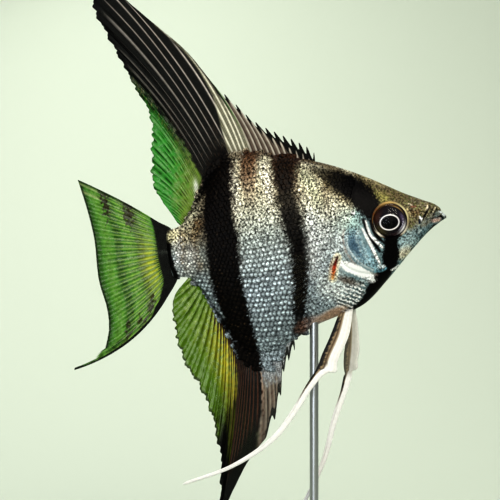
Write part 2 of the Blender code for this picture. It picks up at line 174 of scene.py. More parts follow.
# sRGB hex to linear red, green and blue.
def linear(hexColour):
    value = np.array([int(hexColour[i:i + 2], 16) for i in (1, 3, 5)]) / 255
    return np.where(value <= 0.04045, value / 12.92, ((value + 0.055) / 1.055) ** 2.4)


# Quads between the rings of a tube, given as rows of indices.
def tubeQuads(index):
    beside = np.roll(index, -1, axis=1)
    return np.stack([index[:-1], beside[:-1], beside[1:], index[1:]], axis=-1).reshape(-1, 4)


# A tube's quads and one flat face over each end.
def ringFaces(rows, columns):
    index = np.arange(rows * columns).reshape(rows, columns)
    return [tubeQuads(index), index[:1, ::-1], index[-1:]]


# The quads of a grid of points, and the points once round its rim.
def gridFaces(rows, columns):
    index = np.arange(rows * columns).reshape(rows, columns)
    quads = np.stack([index[:-1, :-1], index[1:, :-1], index[1:, 1:], index[:-1, 1:]], axis=-1).reshape(-1, 4)
    return quads, np.concatenate([index[0], index[1:, -1], index[-1, -2::-1], index[-2:0:-1, 0]])


# Quads on both sides of a thin sheet and round its rim. The right side's points come first.
def shellFaces(rows, columns):
    size = rows * columns
    quads, rim = gridFaces(rows, columns)
    beside = np.roll(rim, -1)
    return [quads, quads[:, ::-1] + size, np.stack([rim, beside, beside + size, rim + size], axis=-1)]


# Six times the volume inside the faces, negative where they point inwards.
def signedVolume(points, faces):
    total = 0
    for block in faces:
        total += np.sum(points[block[:, :1]] * np.cross(points[block[:, 1:-1]], points[block[:, 2:]]))
    return total


# A closed piece from points and blocks of faces, with a value or a colour for each point.
def makePiece(name, points, faces, material, values={}, bakeMap=None, replaces=()):
    points = points.reshape(-1, 3)
    if signedVolume(points, faces) < 0:
        faces = [block[:, ::-1] for block in faces]
    mesh = bpy.data.meshes.new(name)
    corners = np.concatenate([block.ravel() for block in faces])
    sizes = np.concatenate([np.full(len(block), block.shape[1]) for block in faces])
    mesh.vertices.add(len(points))
    mesh.vertices.foreach_set("co", points.ravel())
    mesh.loops.add(len(corners))
    mesh.loops.foreach_set("vertex_index", corners)
    mesh.polygons.add(len(sizes))
    mesh.polygons.foreach_set("loop_start", np.cumsum(sizes) - sizes)
    for key, value in values.items():
        value = np.asarray(value, float)
        plain = value.size == len(points)
        made = mesh.attributes.new(key, "FLOAT" if plain else "FLOAT_COLOR", "POINT")
        made.data.foreach_set("value" if plain else "color", value.ravel())
    if bakeMap is not None:
        mesh.uv_layers.new(name="OFBake").data.foreach_set("uv", bakeMap.reshape(-1, 2)[corners].ravel())
    mesh.update(calc_edges=True)
    mesh.validate()
    mesh.shade_smooth()
    mesh.materials.append(material)
    piece = bpy.data.objects.new(name, mesh)
    bpy.context.scene.collection.objects.link(piece)
    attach(piece, "root")
    if replaces:
        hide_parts(*replaces)
    return piece


# Adds a node. inputs gives each socket a value or a (node, output) to link from; outputs gives the
# (node, socket) that each output feeds.
def addNode(material, kind, inputs={}, outputs={}, **settings):
    node = material.node_tree.nodes.new(kind)
    for key, value in settings.items():
        setattr(node, key, value)
    for socket, value in inputs.items():
        if isinstance(value, tuple) and isinstance(value[0], bpy.types.Node):
            material.node_tree.links.new(value[0].outputs[value[1]], node.inputs[socket])
        else:
            node.inputs[socket].default_value = value
    for output, (other, socket) in outputs.items():
        material.node_tree.links.new(node.outputs[output], other.inputs[socket])
    return node


# A material with values on its shader's own sockets, whose names have _ for a space.
def newMaterial(name, **sockets):
    material = bpy.data.materials.new(name)
    material.use_nodes = True
    shader = material.node_tree.nodes["Principled BSDF"]
    for socket, value in sockets.items():
        shader.inputs[socket.replace("_", " ")].default_value = value
    return material, shader


# Smooth mottling, about -1.5 to 1.5, in lumps of this size: products of sines that bend each other's phase.
def lumps(back, up, size):
    a, b = back / size, up / size
    coarse = np.sin(a * 6.3 + 1.7 * np.sin(b * 4.1)) * np.sin(b * 5.9 + 1.3 * np.sin(a * 3.7))
    return coarse + 0.5 * np.sin(a * 13.1 + b * 7.7) * np.sin(b * 12.3 - a * 5.1)


# 1 within half the width of a smooth line through the points, and 0 beyond a soft edge. Width and strength
# run along the line. Line, width and softness are in thousandths of the fish's length.
def strokeMask(back, up, line, width, soft, strength=(1,)):
    dense = curveThrough(line, 14)
    share = np.linspace(0, 1, len(dense))
    half = np.interp(share, np.linspace(0, 1, len(width)), width) / 2000
    power = np.interp(share, np.linspace(0, 1, len(strength)), strength)
    nearest, found = np.full(back.shape, 1e3), np.zeros(back.shape)
    for (b, u), h, p in zip(dense, half, power):
        gap = np.hypot(back - b, up - u) - h
        found = np.where(gap < nearest, p, found)
        nearest = np.minimum(gap, nearest)
    return found * (1 - ease(-soft / 1000, soft / 1000, nearest))


# 1 inside a turned ellipse and 0 beyond, with a soft edge as a share of its size. Middle and radii are in
# thousandths of the length, the turn in degrees.
def patchMask(back, up, middle, radii, turn, soft, strength=1):
    turn = math.radians(turn)
    b, u = 1000 * back - middle[0], 1000 * up - middle[1]
    x = (b * math.cos(turn) + u * math.sin(turn)) / radii[0]
    y = (u * math.cos(turn) - b * math.sin(turn)) / radii[1]
    return strength * (1 - ease(1 - soft, 1 + soft, np.hypot(x, y)))


# Colours at values between the stops, straight from one to the next.
def ramp(value, stops, hexColours):
    return np.stack([np.interp(value, stops, column) for column in zip(*map(linear, hexColours))], axis=-1)


# Coats one over another, each as strong as its mask: hex colours over a colour, or numbers over a number.
def coated(under, coats):
    for value, mask in coats:
        if isinstance(value, str):
            value, mask = linear(value), mask[..., None]
        under = under + (value - under) * mask
    return under


# What is painted on skin and scales alike. Lengths are in thousandths of the fish's length.
markings = {
    "flank": ["#a9b6be", "#bcc8d1", "#c3cbc6", "#dfdac0"],  # belly, lower flank, middle and back
    "levels": [-0.9, -0.35, 0.15, 0.6],  # where those lie, from -1 on the belly line to 1 on the back
    "cheek": "#7f969c", "crown": "#7c7357",
    "crownEdge": [(0, 0.05, 0.10, 0.14, 0.20, 0.30, 0.42), (0, 0, -0.02, -0.04, -0.01, 0.07, 0.2)],
    "silver": 0.30,  # how metallic the pale parts are
    # strokes: colour, share of silver kept, softness, raggedness, widths, strengths, line
    "strokes": [
        # bright columns between the bars, faint bars and brown clouds
        ("#fffbea", 0.6, 14, 6, [30, 36, 36, 20], [0.7, 1, 0.9, 0.3], [(747, 293), (744, 234), (747, 162),
         (743, 88)]),
        ("#fffbea", 0.6, 14, 6, [24, 30, 28, 20], [0.7, 1, 0.8, 0.2], [(623, 268), (619, 217), (619, 143),
         (615, 88)]),
        ("#c6cbae", 0.6, 20, 8, [30, 40, 40, 30], [0.7, 0.8, 0.6, 0.3], [(497, 229), (468, 177), (447, 119),
         (442, 46)]),
        ("#f3f6f6", 1, 20, 6, [30, 34, 30], [0.5, 0.8, 0.5], [(486, 70), (491, -39), (502, -147)]),
        ("#74533a", 0.3, 12, 6, [66, 60, 45, 20], [0.95, 0.85, 0.45, 0], [(672, 305), (685, 255), (689, 190),
         (690, 99)]),
        ("#6b5334", 0.4, 15, 6, [30, 35, 40, 30], [0.3, 0.5, 0.4, 0.1], [(385, 232), (417, 152), (429, 88),
         (446, 17)]),
        ("#7a5a34", 0.3, 16, 12, [30, 32, 30, 30], [0.95, 0.75, 0.7, 0.7], [(885, 100), (905, 50), (915, -10),
         (900, -60)]),
        ("#6f5632", 0.3, 14, 12, [20, 26, 20], [0.7, 0.8, 0.8], [(945, 70), (955, 20), (948, -60)]),
        ("#8f9a94", 0.7, 20, 10, [40, 40, 30], [0.6], [(870, 40), (880, -40), (870, -120)]),
        ("#7d6c42", 0.6, 30, 12, [90, 80, 90], [0.38], [(890, 60), (950, 10), (930, -60)]),
        ("#ffffff", 1, 12, 10, [20, 30, 30, 20], [0.4, 0.8, 0.8, 0.5], [(977, -69), (934, -177), (902, -262),
         (881, -323)]),
        ("#ffffff", 0.8, 10, 14, [16, 20, 14], [0.7, 0.5, 0.7], [(974, 55), (967, 3), (988, -45)]),
        # brownish fringes of bars two and three
        ("#574430", 0.3, 14, 14, [105, 95, 95, 85, 70], [0.85, 0.8, 0.6, 0.4, 0.2], [(545, 262), (556, 172),
         (548, 35), (540, -50), (554, -165)]),
        ("#4b3a2a", 0.3, 14, 12, [160, 135, 140, 145, 135, 120, 110], [0.9, 0.85, 0.75, 0.7, 0.5, 0.3, 0.2],
         [(805, 300), (812, 170), (822, 98), (817, 24), (816, -30), (814, -158), (800, -233)]),
        # dark brown wedge on the back, where bar two starts
        ("#3b2618", 0.1, 10, 8, [115, 85, 70], [0.95, 0.95, 0.9], [(535, 300), (555, 262), (560, 200)]),
        ("#30242a", 0.1, 10, 6, [22, 26, 20], [0.85, 0.8, 0.5], [(430, 262), (475, 274), (500, 285)]),
        # bars two and three
        ("#110c09", 0.05, 8, 10, [60, 60, 70, 66, 58, 54, 46], [0.6, 0.8, 0.95, 1, 1, 1, 0.9], [(551, 262),
         (560, 172), (550, 35), (540, -50), (554, -165), (572, -279), (579, -345)]),
        ("#110c09", 0.03, 5, 6, [120, 95, 104, 112, 114, 106, 96, 90, 82, 70], [1], [(800, 300), (806, 170),
         (815, 98), (810, 24), (814, -30), (812, -158), (799, -233), (789, -307), (776, -380), (764, -520)]),
        ("#070606", 0, 3, 2, [20], [1], [(992, 90), (1004, 30), (1004, -30), (992, -90)]),
        ("#4a2f20", 0.2, 12, 6, [30], [0.55, 0.7, 0.8, 0.85, 0.6], [(440, 266), (500, 289), (560, 306), (630, 318),
         (720, 323)]),
        ("#070506", 0.05, 4, 3, [30, 20, 16, 8], [1, 1, 0.95, 0.7], [(820, 268), (862, 206), (915, 132),
         (945, 104)]),
        ("#070506", 0.05, 4, 3, [20, 12, 10, 8], [1, 0.9, 0.9, 0.8], [(835, -300), (875, -210), (912, -138),
         (945, -98)]),
    ],
    "headStrokes": [
        # bar one: nape, then below the eye and down the throat
        ("#5b4f38", 0.2, 8, 6, [20, 24, 20, 12], [0.9, 0.9, 0.7, 0.3], [(476, 277), (387, 231), (286, 170),
         (185, 112)]),
        ("#6a5a30", 0.2, 12, 12, [30, 50, 84, 100, 100], [0.5, 0.6, 0.7, 0.7, 0.6], [(452, 232), (411, 198),
         (366, 165), (330, 135), (300, 110)]),
        ("#070506", 0.03, 10, 10, [22, 36, 64, 84, 92, 92, 70], [0.5, 0.75, 0.95, 1, 1, 1, 1], [(452, 240),
         (411, 208), (366, 177), (322, 144), (291, 110), (274, 77), (260, 46)]),
        ("#070506", 0.02, 4, 3, [55, 52, 62, 45, 60, 50, 25, 15], [1], [(203, -30), (207, -50), (216, -110),
         (225, -145), (256, -185), (291, -226), (330, -262), (375, -288)]),
        # the gill cover: pinkish rear edge, blue-grey shine, a slate middle and bright arcs
        ("#b3a8a2", 0.5, 4, 2, [8], [0.5, 0.8, 0.8, 0.8, 0.8, 0.7, 0.4], [(372, -1), (379, -32), (379, -62),
         (368, -96), (341, -138), (306, -164), (275, -177)]),
        ("#7f9cac", 1.1, 12, 6, [44, 56, 44], [0.55, 0.8, 0.7], [(343, -23), (341, -63), (311, -111)]),
        ("#4b647a", 1.1, 12, 6, [18, 30, 16], [0.7, 0.85, 0.6], [(344, -34), (346, -63), (331, -94)]),
        ("#9fc0ce", 1.1, 10, 5, [26, 28, 18], [0.7, 0.8, 0.8], [(300, -84), (297, -117), (280, -149)]),
        ("#dbe6ea", 0.8, 3, 1, [6], [0.5, 0.9, 0.9, 0.8, 0.5], [(361, -13), (369, -52), (357, -88), (325, -131),
         (285, -159)]),
        ("#bfd2da", 0.8, 3, 2, [4], [0.2, 0.8, 0.4], [(350, -77), (332, -107), (300, -137)]),
        ("#c9dde2", 0.8, 4, 2, [6], [0.3, 0.8, 0.5], [(314, -27), (312, -67), (300, -106)]),
        ("#d7e4e6", 0.8, 4, 4, [5], [0.2, 0.7, 0.5], [(333, -36), (322, -82), (297, -128)]),
        ("#d7e4e6", 0.8, 6, 6, [7], [0.7, 0.6, 0.2], [(322, -12), (330, -28), (333, -46)]),
        ("#47423f", 0.1, 3, 1, [5], [0.3, 0.7, 0.7, 0.3], [(389, -64), (379, -102), (349, -146), (313, -173)]),
        # pure white patch behind and below the gill cover, and under it a brown-grey stroke of painted shade
        ("#ffffff", 0, 4, 4, [22, 36, 36, 28, 18], [1], [(400, -117), (376, -133), (343, -153), (312, -170),
         (292, -183)]),
        # painted shade below the white patch
        ("#6e6258", 0.2, 7, 7, [20, 28, 18], [0.8, 0.9, 0.6], [(414, -170), (380, -184), (346, -200)]),
        # white and black lines between eye and gill cover
        ("#0b090b", 0, 3, 0, [13, 15, 15, 14, 10], [1], [(298, 24), (290, -12), (283, -37), (269, -68),
         (254, -94)]),
        ("#ffffff", 0, 2.2, 0, [5, 8, 9, 11, 8], [1], [(290, 20), (286, -8), (279, -35), (264, -55), (244, -82)]),
        ("#0b090b", 0, 3, 0, [14, 16, 14, 8], [1], [(271, 17), (268, -12), (259, -37), (236, -67)]),
        ("#ffffff", 0.1, 2.5, 0, [6, 10, 12, 11, 8], [1], [(306, -6), (297, -33), (282, -75), (270, -112),
         (262, -135)]),
        ("#0f0d10", 0, 2.5, 0, [3], [0.3, 0.8, 0.4], [(292, -63), (282, -94), (274, -120)]),
        ("#f6f8f8", 0, 6, 8, [20, 30, 24], [0.6, 1, 0.9], [(366, -140), (326, -164), (297, -190)]),
        ("#fff6e6", 0, 2, 0, [6, 9, 7], [1], [(264, -1), (258, -20), (240, -41)]),
        ("#e4f0f6", 0.3, 3, 1, [12, 12], [0.9], [(265, -147), (248, -151)]),
        ("#7fb2c4", 0.6, 3, 1, [8], [0.8], [(282, -161), (260, -164), (241, -158)]),
        ("#ffffff", 0, 2, 0, [6, 8, 6], [1], [(221, -168), (205, -163), (193, -155)]),
        # snout: maxilla, folds, nostril, lips with a painted highlight on the tip of the upper lip, and the line of the
        # jaw
        ("#566a72", 0.6, 8, 8, [30, 30, 18], [0.75], [(100, -61), (65, -22), (31, 13)]),
        ("#a9bdc2", 0.6, 5, 8, [10, 10, 6], [0.6], [(81, -34), (56, -9), (39, 11)]),
        ("#7d6a4c", 0.3, 8, 8, [10, 14, 10], [0.7], [(91, -26), (64, -15), (42, 11)]),
        ("#0d0b0b", 0, 2, 0, [6, 8, 8, 4], [0.9, 1, 1, 0.7], [(52, 41), (64, 25), (80, 4), (90, -11)]),
        ("#f3e6c8", 0, 2, 0, [7, 6], [1], [(59, 43), (66, 31)]),
        ("#ffffff", 0, 2, 0, [7, 11, 6], [1], [(93, 8), (90, -1), (90, -7)]),
        ("#14233c", 0, 2, 0, [7, 8], [1], [(98, -3), (98, -14)]),
        ("#191613", 0.1, 2, 0, [5, 4], [0.9], [(41, 33), (53, 15)]),
        ("#191613", 0.1, 2, 0, [5, 4, 3], [0.9], [(27, 29), (41, 13), (50, -6)]),
        ("#efe4c4", 0.2, 2, 0, [5, 4], [0.8], [(33, 32), (43, 19)]),
        # painted highlight on the tip of the upper lip
        ("#e6eff2", 0.2, 2.5, 0, [6, 8, 7], [0.9], [(19, 17), (8, 9), (4, -2)]),
        ("#0a0808", 0, 2, 0, [4, 6, 9, 4, 3, 2], [1, 1, 1, 0.9, 0.7, 0.3], [(15, -23), (11, -6), (16, -1), (28, -2),
         (45, -4), (59, -10)]),
        ("#e3bdb0", 0.1, 6, 4, [12, 13, 10], [0.75], [(24, -13), (36, -13), (47, -13)]),
        ("#0f0c0a", 0, 2, 0, [4, 6, 6, 6, 6, 6, 4], [0.8, 1, 1, 1, 1, 0.9, 0.6], [(29, -25), (45, -29), (58, -41),
         (78, -58), (97, -77), (113, -93), (138, -102)]),
        ("#c2b48a", 0.2, 3, 1, [6], [0.5, 0.8, 0.8, 0.8, 0.5], [(45, -37), (66, -55), (87, -75), (110, -98),
         (144, -113)]),
        ("#121010", 0, 2, 0, [6, 4], [0.9], [(110, -34), (114, -50)]),
        ("#dbe9ec", 0.4, 2, 0, [4], [0.8], [(102, -37), (107, -52), (95, -40)]),
        ("#efe3c6", 0.3, 2, 0, [5], [0.8], [(127, 60), (117, 54)]),
        ("#a05f52", 0.2, 3, 0, [6, 6], [0.7], [(119, 48), (103, 47)]),
        ("#6e4a26", 0.2, 10, 3, [18, 20, 14], [0.5], [(120, 30), (106, 22), (94, 30)]),
        ("#f3e2b0", 0.2, 3, 0, [4, 6, 4], [0.5, 0.9, 0.4], [(136, 43), (129, 29), (128, 16)]),
    ],
    # colour, share of silver kept, strength, softness, turn, middle, radii
    "patches": [
        ("#f4f7f6", 0.8, 0.5, 0.8, 10, (467, -24), (35, 90)),
        ("#f4f7f6", 0.8, 0.5, 0.8, 10, (936, -38), (20, 50)),
        ("#eef3f2", 0.6, 0.75, 0.7, 0, (442, -188), (48, 50)),
        ("#eef3f2", 0.6, 0.45, 0.7, 0, (401, -77), (30, 50)),
        ("#a8c0b8", 0.6, 0.6, 0.8, 0, (343, 25), (40, 45)),
        ("#b9b36a", 0.4, 0.55, 0.7, 30, (220, 95), (30, 18)),
        ("#cfc39a", 0.4, 0.45, 0.8, 24, (251, 161), (55, 12)),
        ("#6a5a3c", 0.3, 0.4, 0.8, 20, (158, 93), (50, 16)),
        ("#e4d8bf", 0.3, 0.75, 0.5, -35, (165, -110), (30, 20)),
        ("#c3d6dc", 0.9, 0.55, 0.6, -30, (148, -69), (40, 26)),
        ("#ffffff", 0.2, 1, 0.3, 0, (332, 56), (7, 7)),
        ("#e9e3bd", 0.4, 0.8, 0.5, 0, (985, 62), (22, 20)),
        ("#9b7767", 0.2, 0.6, 0.5, -20, (545, -318), (50, 22)),
        ("#b08f74", 0.2, 0.85, 0.5, -18, (455, -296), (60, 18)),
    ],
    # where speckles fade, and how far: gill cover, white patch, forehead, lips, bright lines, throat;
    # then turn, middle, radii
    "smooth": [
        (0.55, 0, (332, -79), (60, 55)),
        (0.97, 18, (346, -150), (70, 26)),
        (0.3, 20, (151, 92), (150, 40)),
        (0.25, 0, (30, -3), (30, 30)),
        (0.7, 0, (293, -34), (30, 60)),
        (0.6, -17, (465, -298), (80, 26)),
    ],
    # red-brown mark at the root of the pectoral fin: colours down its length, inside a cream rim
    "pectoralRoot": [(409, -94), (422, -120), (436, -166)],
    "pectoralColours": ["#3a1310", "#6e1d12", "#a33a1c", "#c86e3a", "#dba663"],
}


# Colour and share of silver at points of the body, alike on both sides: a blend from belly to back, the cheek
# and crown, and then every stroke and patch laid over them in turn.
def paint(back, up):
    colour = ramp(levelOf(back, up), markings["levels"], markings["flank"])
    silver = np.full(back.shape, markings["silver"])
    ragged = lumps(back, up, 0.022) + 0.6 * lumps(back, up, 0.007)

    def lay(hexColour, mask, kept):
        nonlocal colour, silver
        colour = coated(colour, [(hexColour, mask)])
        silver = silver * (1 - mask * (1 - kept))

    def layStrokes(name):
        for hexColour, kept, soft, rough, width, strength, line in markings[name]:
            lay(hexColour, strokeMask(back + rough / 1000 * ragged, up, line, width, soft, strength), kept)

    head = 1 - ease(-0.012, 0.012, back - neckOf(up))
    aboveEdge = up - np.interp(back, *markings["crownEdge"]) + 0.006 * lumps(back, up, 0.02)
    crown = head * ease(-0.02, 0.02, aboveEdge)
    lay(markings["cheek"], head - crown, 1)
    lay(markings["crown"], crown, 0.35)
    lay("#8f9a58", 0.55 * crown * ease(0.2, 0.9, lumps(back, up, 0.03)), 0.4)
    lay("#6f5a52", 0.55 * crown * ease(0.2, 0.9, lumps(up, back, 0.022)), 0.3)
    lay("#d5c9a4", 0.45 * crown * ease(0.8, 1.3, lumps(back, up, 0.009)), 0.3)
    rows, within = breastRows(back, up)
    # white along the rows' raised crests and dark in the grooves between them: painted highlights and painted shade on
    # the relief of the rows
    lay("#ffffff", 0.95 * within * ease(-0.25, 0.55, rows), 0.2)
    lay("#2c2b2d", 0.6 * within * ease(-0.1, -0.8, rows), 0.1)
    layStrokes("strokes")
    lay("#5f503c", 0.30 * ease(0.7, 1.3, lumps(back, up, 0.0045)) * (1 - head), 0.4)
    for hexColour, kept, strength, soft, turn, middle, radii in markings["patches"]:
        lay(hexColour, patchMask(back, up, middle, radii, turn, soft, strength), kept)
    snout = 1 - ease(0.10, 0.17, back)
    lay("#c3cbbf", 0.55 * snout * ease(0.55, 1.05, lumps(back, up, 0.0065)), 0.8)
    lay("#1f1b17", 0.60 * snout * ease(0.55, 1.05, lumps(up, back, 0.0065)), 0.2)
    layStrokes("headStrokes")

    line = markings["pectoralRoot"]
    lay("#efe8cf", strokeMask(back, up, line, [30, 34, 32], 4, [0.9]), 0.3)
    down = np.clip((line[0][1] - 1000 * up) / (line[0][1] - line[-1][1]), 0, 1)
    mark = strokeMask(back, up, line, [10, 16, 12], 4)
    red = ramp(down, np.linspace(0, 1, 5), markings["pectoralColours"])
    colour = colour + (red - colour) * mark[..., None]
    return np.concatenate([np.clip(colour, 0, 1), np.clip(silver * (1 - mark), 0, 1)[..., None]], axis=-1)


# Fine rows of tiny scales that slant over the breast, as waves across the slant, and where they are.
def breastRows(back, up):
    across = 0.87 * up - 0.50 * back + 0.35 * (back - 0.36) * (up + 0.24)
    rows = np.sin(430 * across + 1.2 * lumps(back, up, 0.04)) + 0.6 * lumps(back, up, 0.012)
    within = ease(0.30, 0.33, back + 0.3 * (up + 0.19)) * (1 - ease(0.425, 0.445, back))
    return rows, within * (1 - ease(-0.21, -0.18, up))


# How strong the fine speckles are: 1 over back and head, less where the scales' own rows show and on the
# smooth places of the head.
def speckleAt(back, up):
    level = levelOf(back, up)
    even = 0.55 * ease(0.30, -0.15, level) * (1 - 0.5 * ease(-0.80, -0.98, level))
    even = even * (0.35 + 0.65 * ease(0.47, 0.60, back))
    for less, turn, middle, radii in markings["smooth"]:
        even = np.maximum(even, patchMask(back, up, middle, radii, turn, 0.4, less))
    return 1 - even


# How far behind the snout the scales start, at each height.
def neckOf(up):
    heights = [-0.30, -0.26, -0.21, -0.17, -0.09, -0.07, -0.025, 0.03, 0.06, 0.12, 0.17, 0.25]
    return np.interp(up, heights, [0.40, 0.425, 0.435, 0.445, 0.430, 0.395, 0.375, 0.345, 0.325, 0.32, 0.30, 0.33])


finishes = {
    "speckle": 0.00052,  # metres: the grain of the fine speckles
    "speckleFrom": (0.40, 0.61), "speckleTo": (0.03, 1.6),  # from the noise's values to dark and bright factors
    "film": (0.0012, 3.0, 0.8, 1.15), "enamel": (0.0008, 2.0, 0.94, 1.04),  # metres, detail, darkest, lightest
    "glassIor": 1.14,  # less than real glass, or the lamps' reflections would hide the iris
    "woodGrain": (60, 900, 900),  # per metre: fibres 17 mm long and 1.1 mm wide, coarse enough to show
    "steelLines": (9000, 9000, 120),  # per metre: drawing lines 8 mm long and a ninth of a mm wide
    "woodColours": ("#120e0b", "#3a2c22"), "steelColour": "#b9bbbd",
}


# For skin and scales: the painted colours times a speckle, grains of half a millimetre between dark and
# bright, as strong as the surface's own speckle value says, and times a scale's own shine: a painted highlight
# in its middle and a darker margin. Returns the grains.
def speckledPaint(material, shader, shine=None):
    painted = addNode(material, "ShaderNodeAttribute", attribute_name="markings")
    speckle = addNode(material, "ShaderNodeAttribute", attribute_name="speckle")
    place3d = addNode(material, "ShaderNodeTexCoord")
    grain = addNode(material, "ShaderNodeTexNoise", {"Vector": (place3d, "Object"), "Scale": 1 / finishes["speckle"],
                                                     "Detail": 3.0, "Roughness": 0.7})
    fromLow, fromHigh, toLow, toHigh = finishes["speckleFrom"] + finishes["speckleTo"]
    flecks = addNode(material, "ShaderNodeMapRange", {"Value": (grain, "Fac"), "From Min": fromLow,
                                                      "From Max": fromHigh, "To Min": toLow, "To Max": toHigh})
    mild = addNode(material, "ShaderNodeMath", {0: (flecks, "Result"), 1: 1.0}, operation="SUBTRACT")
    share = addNode(material, "ShaderNodeMath", {0: (mild, "Value"), 1: (speckle, "Fac")}, operation="MULTIPLY")
    factor = addNode(material, "ShaderNodeMath", {0: (share, "Value"), 1: 1.0}, operation="ADD")
    if shine:
        own = addNode(material, "ShaderNodeAttribute", attribute_name=shine)
        factor = addNode(material, "ShaderNodeMath", {0: (own, "Fac"), 1: (factor, "Value")}, operation="MULTIPLY")
    addNode(material, "ShaderNodeMix", {0: 1.0, 6: (painted, "Color"), 7: (factor, "Value")},
            {2: (shader, "Base Color")}, data_type="RGBA", blend_type="MULTIPLY")
    material.node_tree.links.new(painted.outputs["Alpha"], shader.inputs["Metallic"])
    return grain


# Resin cast, airbrushed and lacquered: soft gloss over fine mottling, with a little pearl in the pale parts.
def lacqueredSkin():
    material, shader = newMaterial("lacqueredSkin", Roughness=0.42, Specular_IOR_Level=0.10)
    grain = speckledPaint(material, shader)
    addNode(material, "ShaderNodeBump", {"Strength": 0.3, "Distance": 0.0001, "Height": (grain, "Fac")},
            {"Normal": (shader, "Normal")})
    return material


# Scales in pearl lacquer: each has a painted highlight in its middle, of its own strength, and a dark rear margin.
def pearlScale():
    material, shader = newMaterial("pearlScale", Roughness=0.38, Specular_IOR_Level=0.10)
    # the relief attribute holds each scale's painted highlight and dark margin as a brightness factor, not a height
    speckledPaint(material, shader, shine="relief")
    return material


# For film and enamel: each point's own pigment, under a mottle of this size in metres.
def mottledPigment(material, shader, size, detail, darkest, lightest):
    painted = addNode(material, "ShaderNodeAttribute", attribute_name="pigment")
    place3d = addNode(material, "ShaderNodeTexCoord")
    mottle = addNode(material, "ShaderNodeTexNoise", {"Vector": (place3d, "Object"), "Scale": 1 / size,
                                                      "Detail": detail})
    shade = addNode(material, "ShaderNodeMapRange", {"Value": (mottle, "Fac"), "From Min": 0.3, "From Max": 0.7,
                                                     "To Min": darkest, "To Max": lightest})
    addNode(material, "ShaderNodeMix", {0: 1.0, 6: (painted, "Color"), 7: (shade, "Result")},
            {2: (shader, "Base Color")}, data_type="RGBA", blend_type="MULTIPLY")
    return painted


# Fin membrane in clear cast film: each point has its own pigment and lets its own share of light through.
def finFilm():
    material, shader = newMaterial("finFilm", Roughness=0.5, Specular_IOR_Level=0.08)
    painted = mottledPigment(material, shader, *finishes["film"])
    material.node_tree.links.new(painted.outputs["Alpha"], shader.inputs["Alpha"])
    return material


# White enamel on the pelvic fins: nearly even, with a soft sheen.
def whiteEnamel():
    material, shader = newMaterial("whiteEnamel", Roughness=0.5, Specular_IOR_Level=0.3)
    mottledPigment(material, shader, *finishes["enamel"])
    return material


# Iris in gouache and a little silver, behind glass: half matt, and the silver shows in its pale ring.
def paintedIris():
    material, shader = newMaterial("paintedIris", Roughness=0.4, Specular_IOR_Level=0.1)
    painted = addNode(material, "ShaderNodeAttribute", {}, {"Color": (shader, "Base Color")},
                      attribute_name="pigment")
    material.node_tree.links.new(painted.outputs["Alpha"], shader.inputs["Metallic"])
    return material


# Clear blown glass dome: nothing but its reflections shows.
def clearGlass():
    material, shader = newMaterial("clearGlass")
    end = material.node_tree.nodes["Material Output"]
    edge = addNode(material, "ShaderNodeFresnel", {"IOR": finishes["glassIor"]})
    clear = addNode(material, "ShaderNodeBsdfTransparent")
    gloss = addNode(material, "ShaderNodeBsdfAnisotropic", {"Roughness": 0.03})
    addNode(material, "ShaderNodeMixShader", {0: (edge, "Fac"), 1: (clear, 0), 2: (gloss, 0)},
            {0: (end, "Surface")})
    material.node_tree.nodes.remove(shader)
    return material


# Ebonised hardwood, oiled: near black, with a fine straight grain that shows in the sheen.
def ebonisedWood():
    material, shader = newMaterial("ebonisedWood", Coat_Weight=0.15, Coat_Roughness=0.3)
    place3d = addNode(material, "ShaderNodeTexCoord")
    stretched = addNode(material, "ShaderNodeMapping", {"Vector": (place3d, "Object"), "Scale": finishes["woodGrain"]})
    grain = addNode(material, "ShaderNodeTexNoise", {"Vector": (stretched, 0), "Scale": 1.0, "Detail": 5.0,
                                                     "Roughness": 0.6})
    band = addNode(material, "ShaderNodeValToRGB", {"Fac": (grain, "Fac")}, {"Color": (shader, "Base Color")})
    for stop, position, hexColour in zip(band.color_ramp.elements, (0.35, 0.7), finishes["woodColours"]):
        stop.position, stop.color = position, (*linear(hexColour), 1)
    addNode(material, "ShaderNodeMapRange", {"Value": (grain, "Fac"), "To Min": 0.55, "To Max": 0.3},
            {"Result": (shader, "Roughness")})
    addNode(material, "ShaderNodeBump", {"Strength": 0.3, "Distance": 0.0001, "Height": (grain, "Fac")},
            {"Normal": (shader, "Normal")})
    return material


# Drawn stainless steel: fine lines along the rod blur its reflections.
def drawnSteel():
    material, shader = newMaterial("drawnSteel", Metallic=1.0, Base_Color=(*linear(finishes["steelColour"]), 1))
    place3d = addNode(material, "ShaderNodeTexCoord")
    stretched = addNode(material, "ShaderNodeMapping", {"Vector": (place3d, "Object"), "Scale": finishes["steelLines"]})
    lines = addNode(material, "ShaderNodeTexNoise", {"Vector": (stretched, 0), "Scale": 1.0, "Detail": 2.0})
    addNode(material, "ShaderNodeMapRange", {"Value": (lines, "Fac"), "To Min": 0.18, "To Max": 0.38},
            {"Result": (shader, "Roughness")})
    addNode(material, "ShaderNodeBump", {"Strength": 0.15, "Distance": 0.00003, "Height": (lines, "Fac")},
            {"Normal": (shader, "Normal")})
    return material


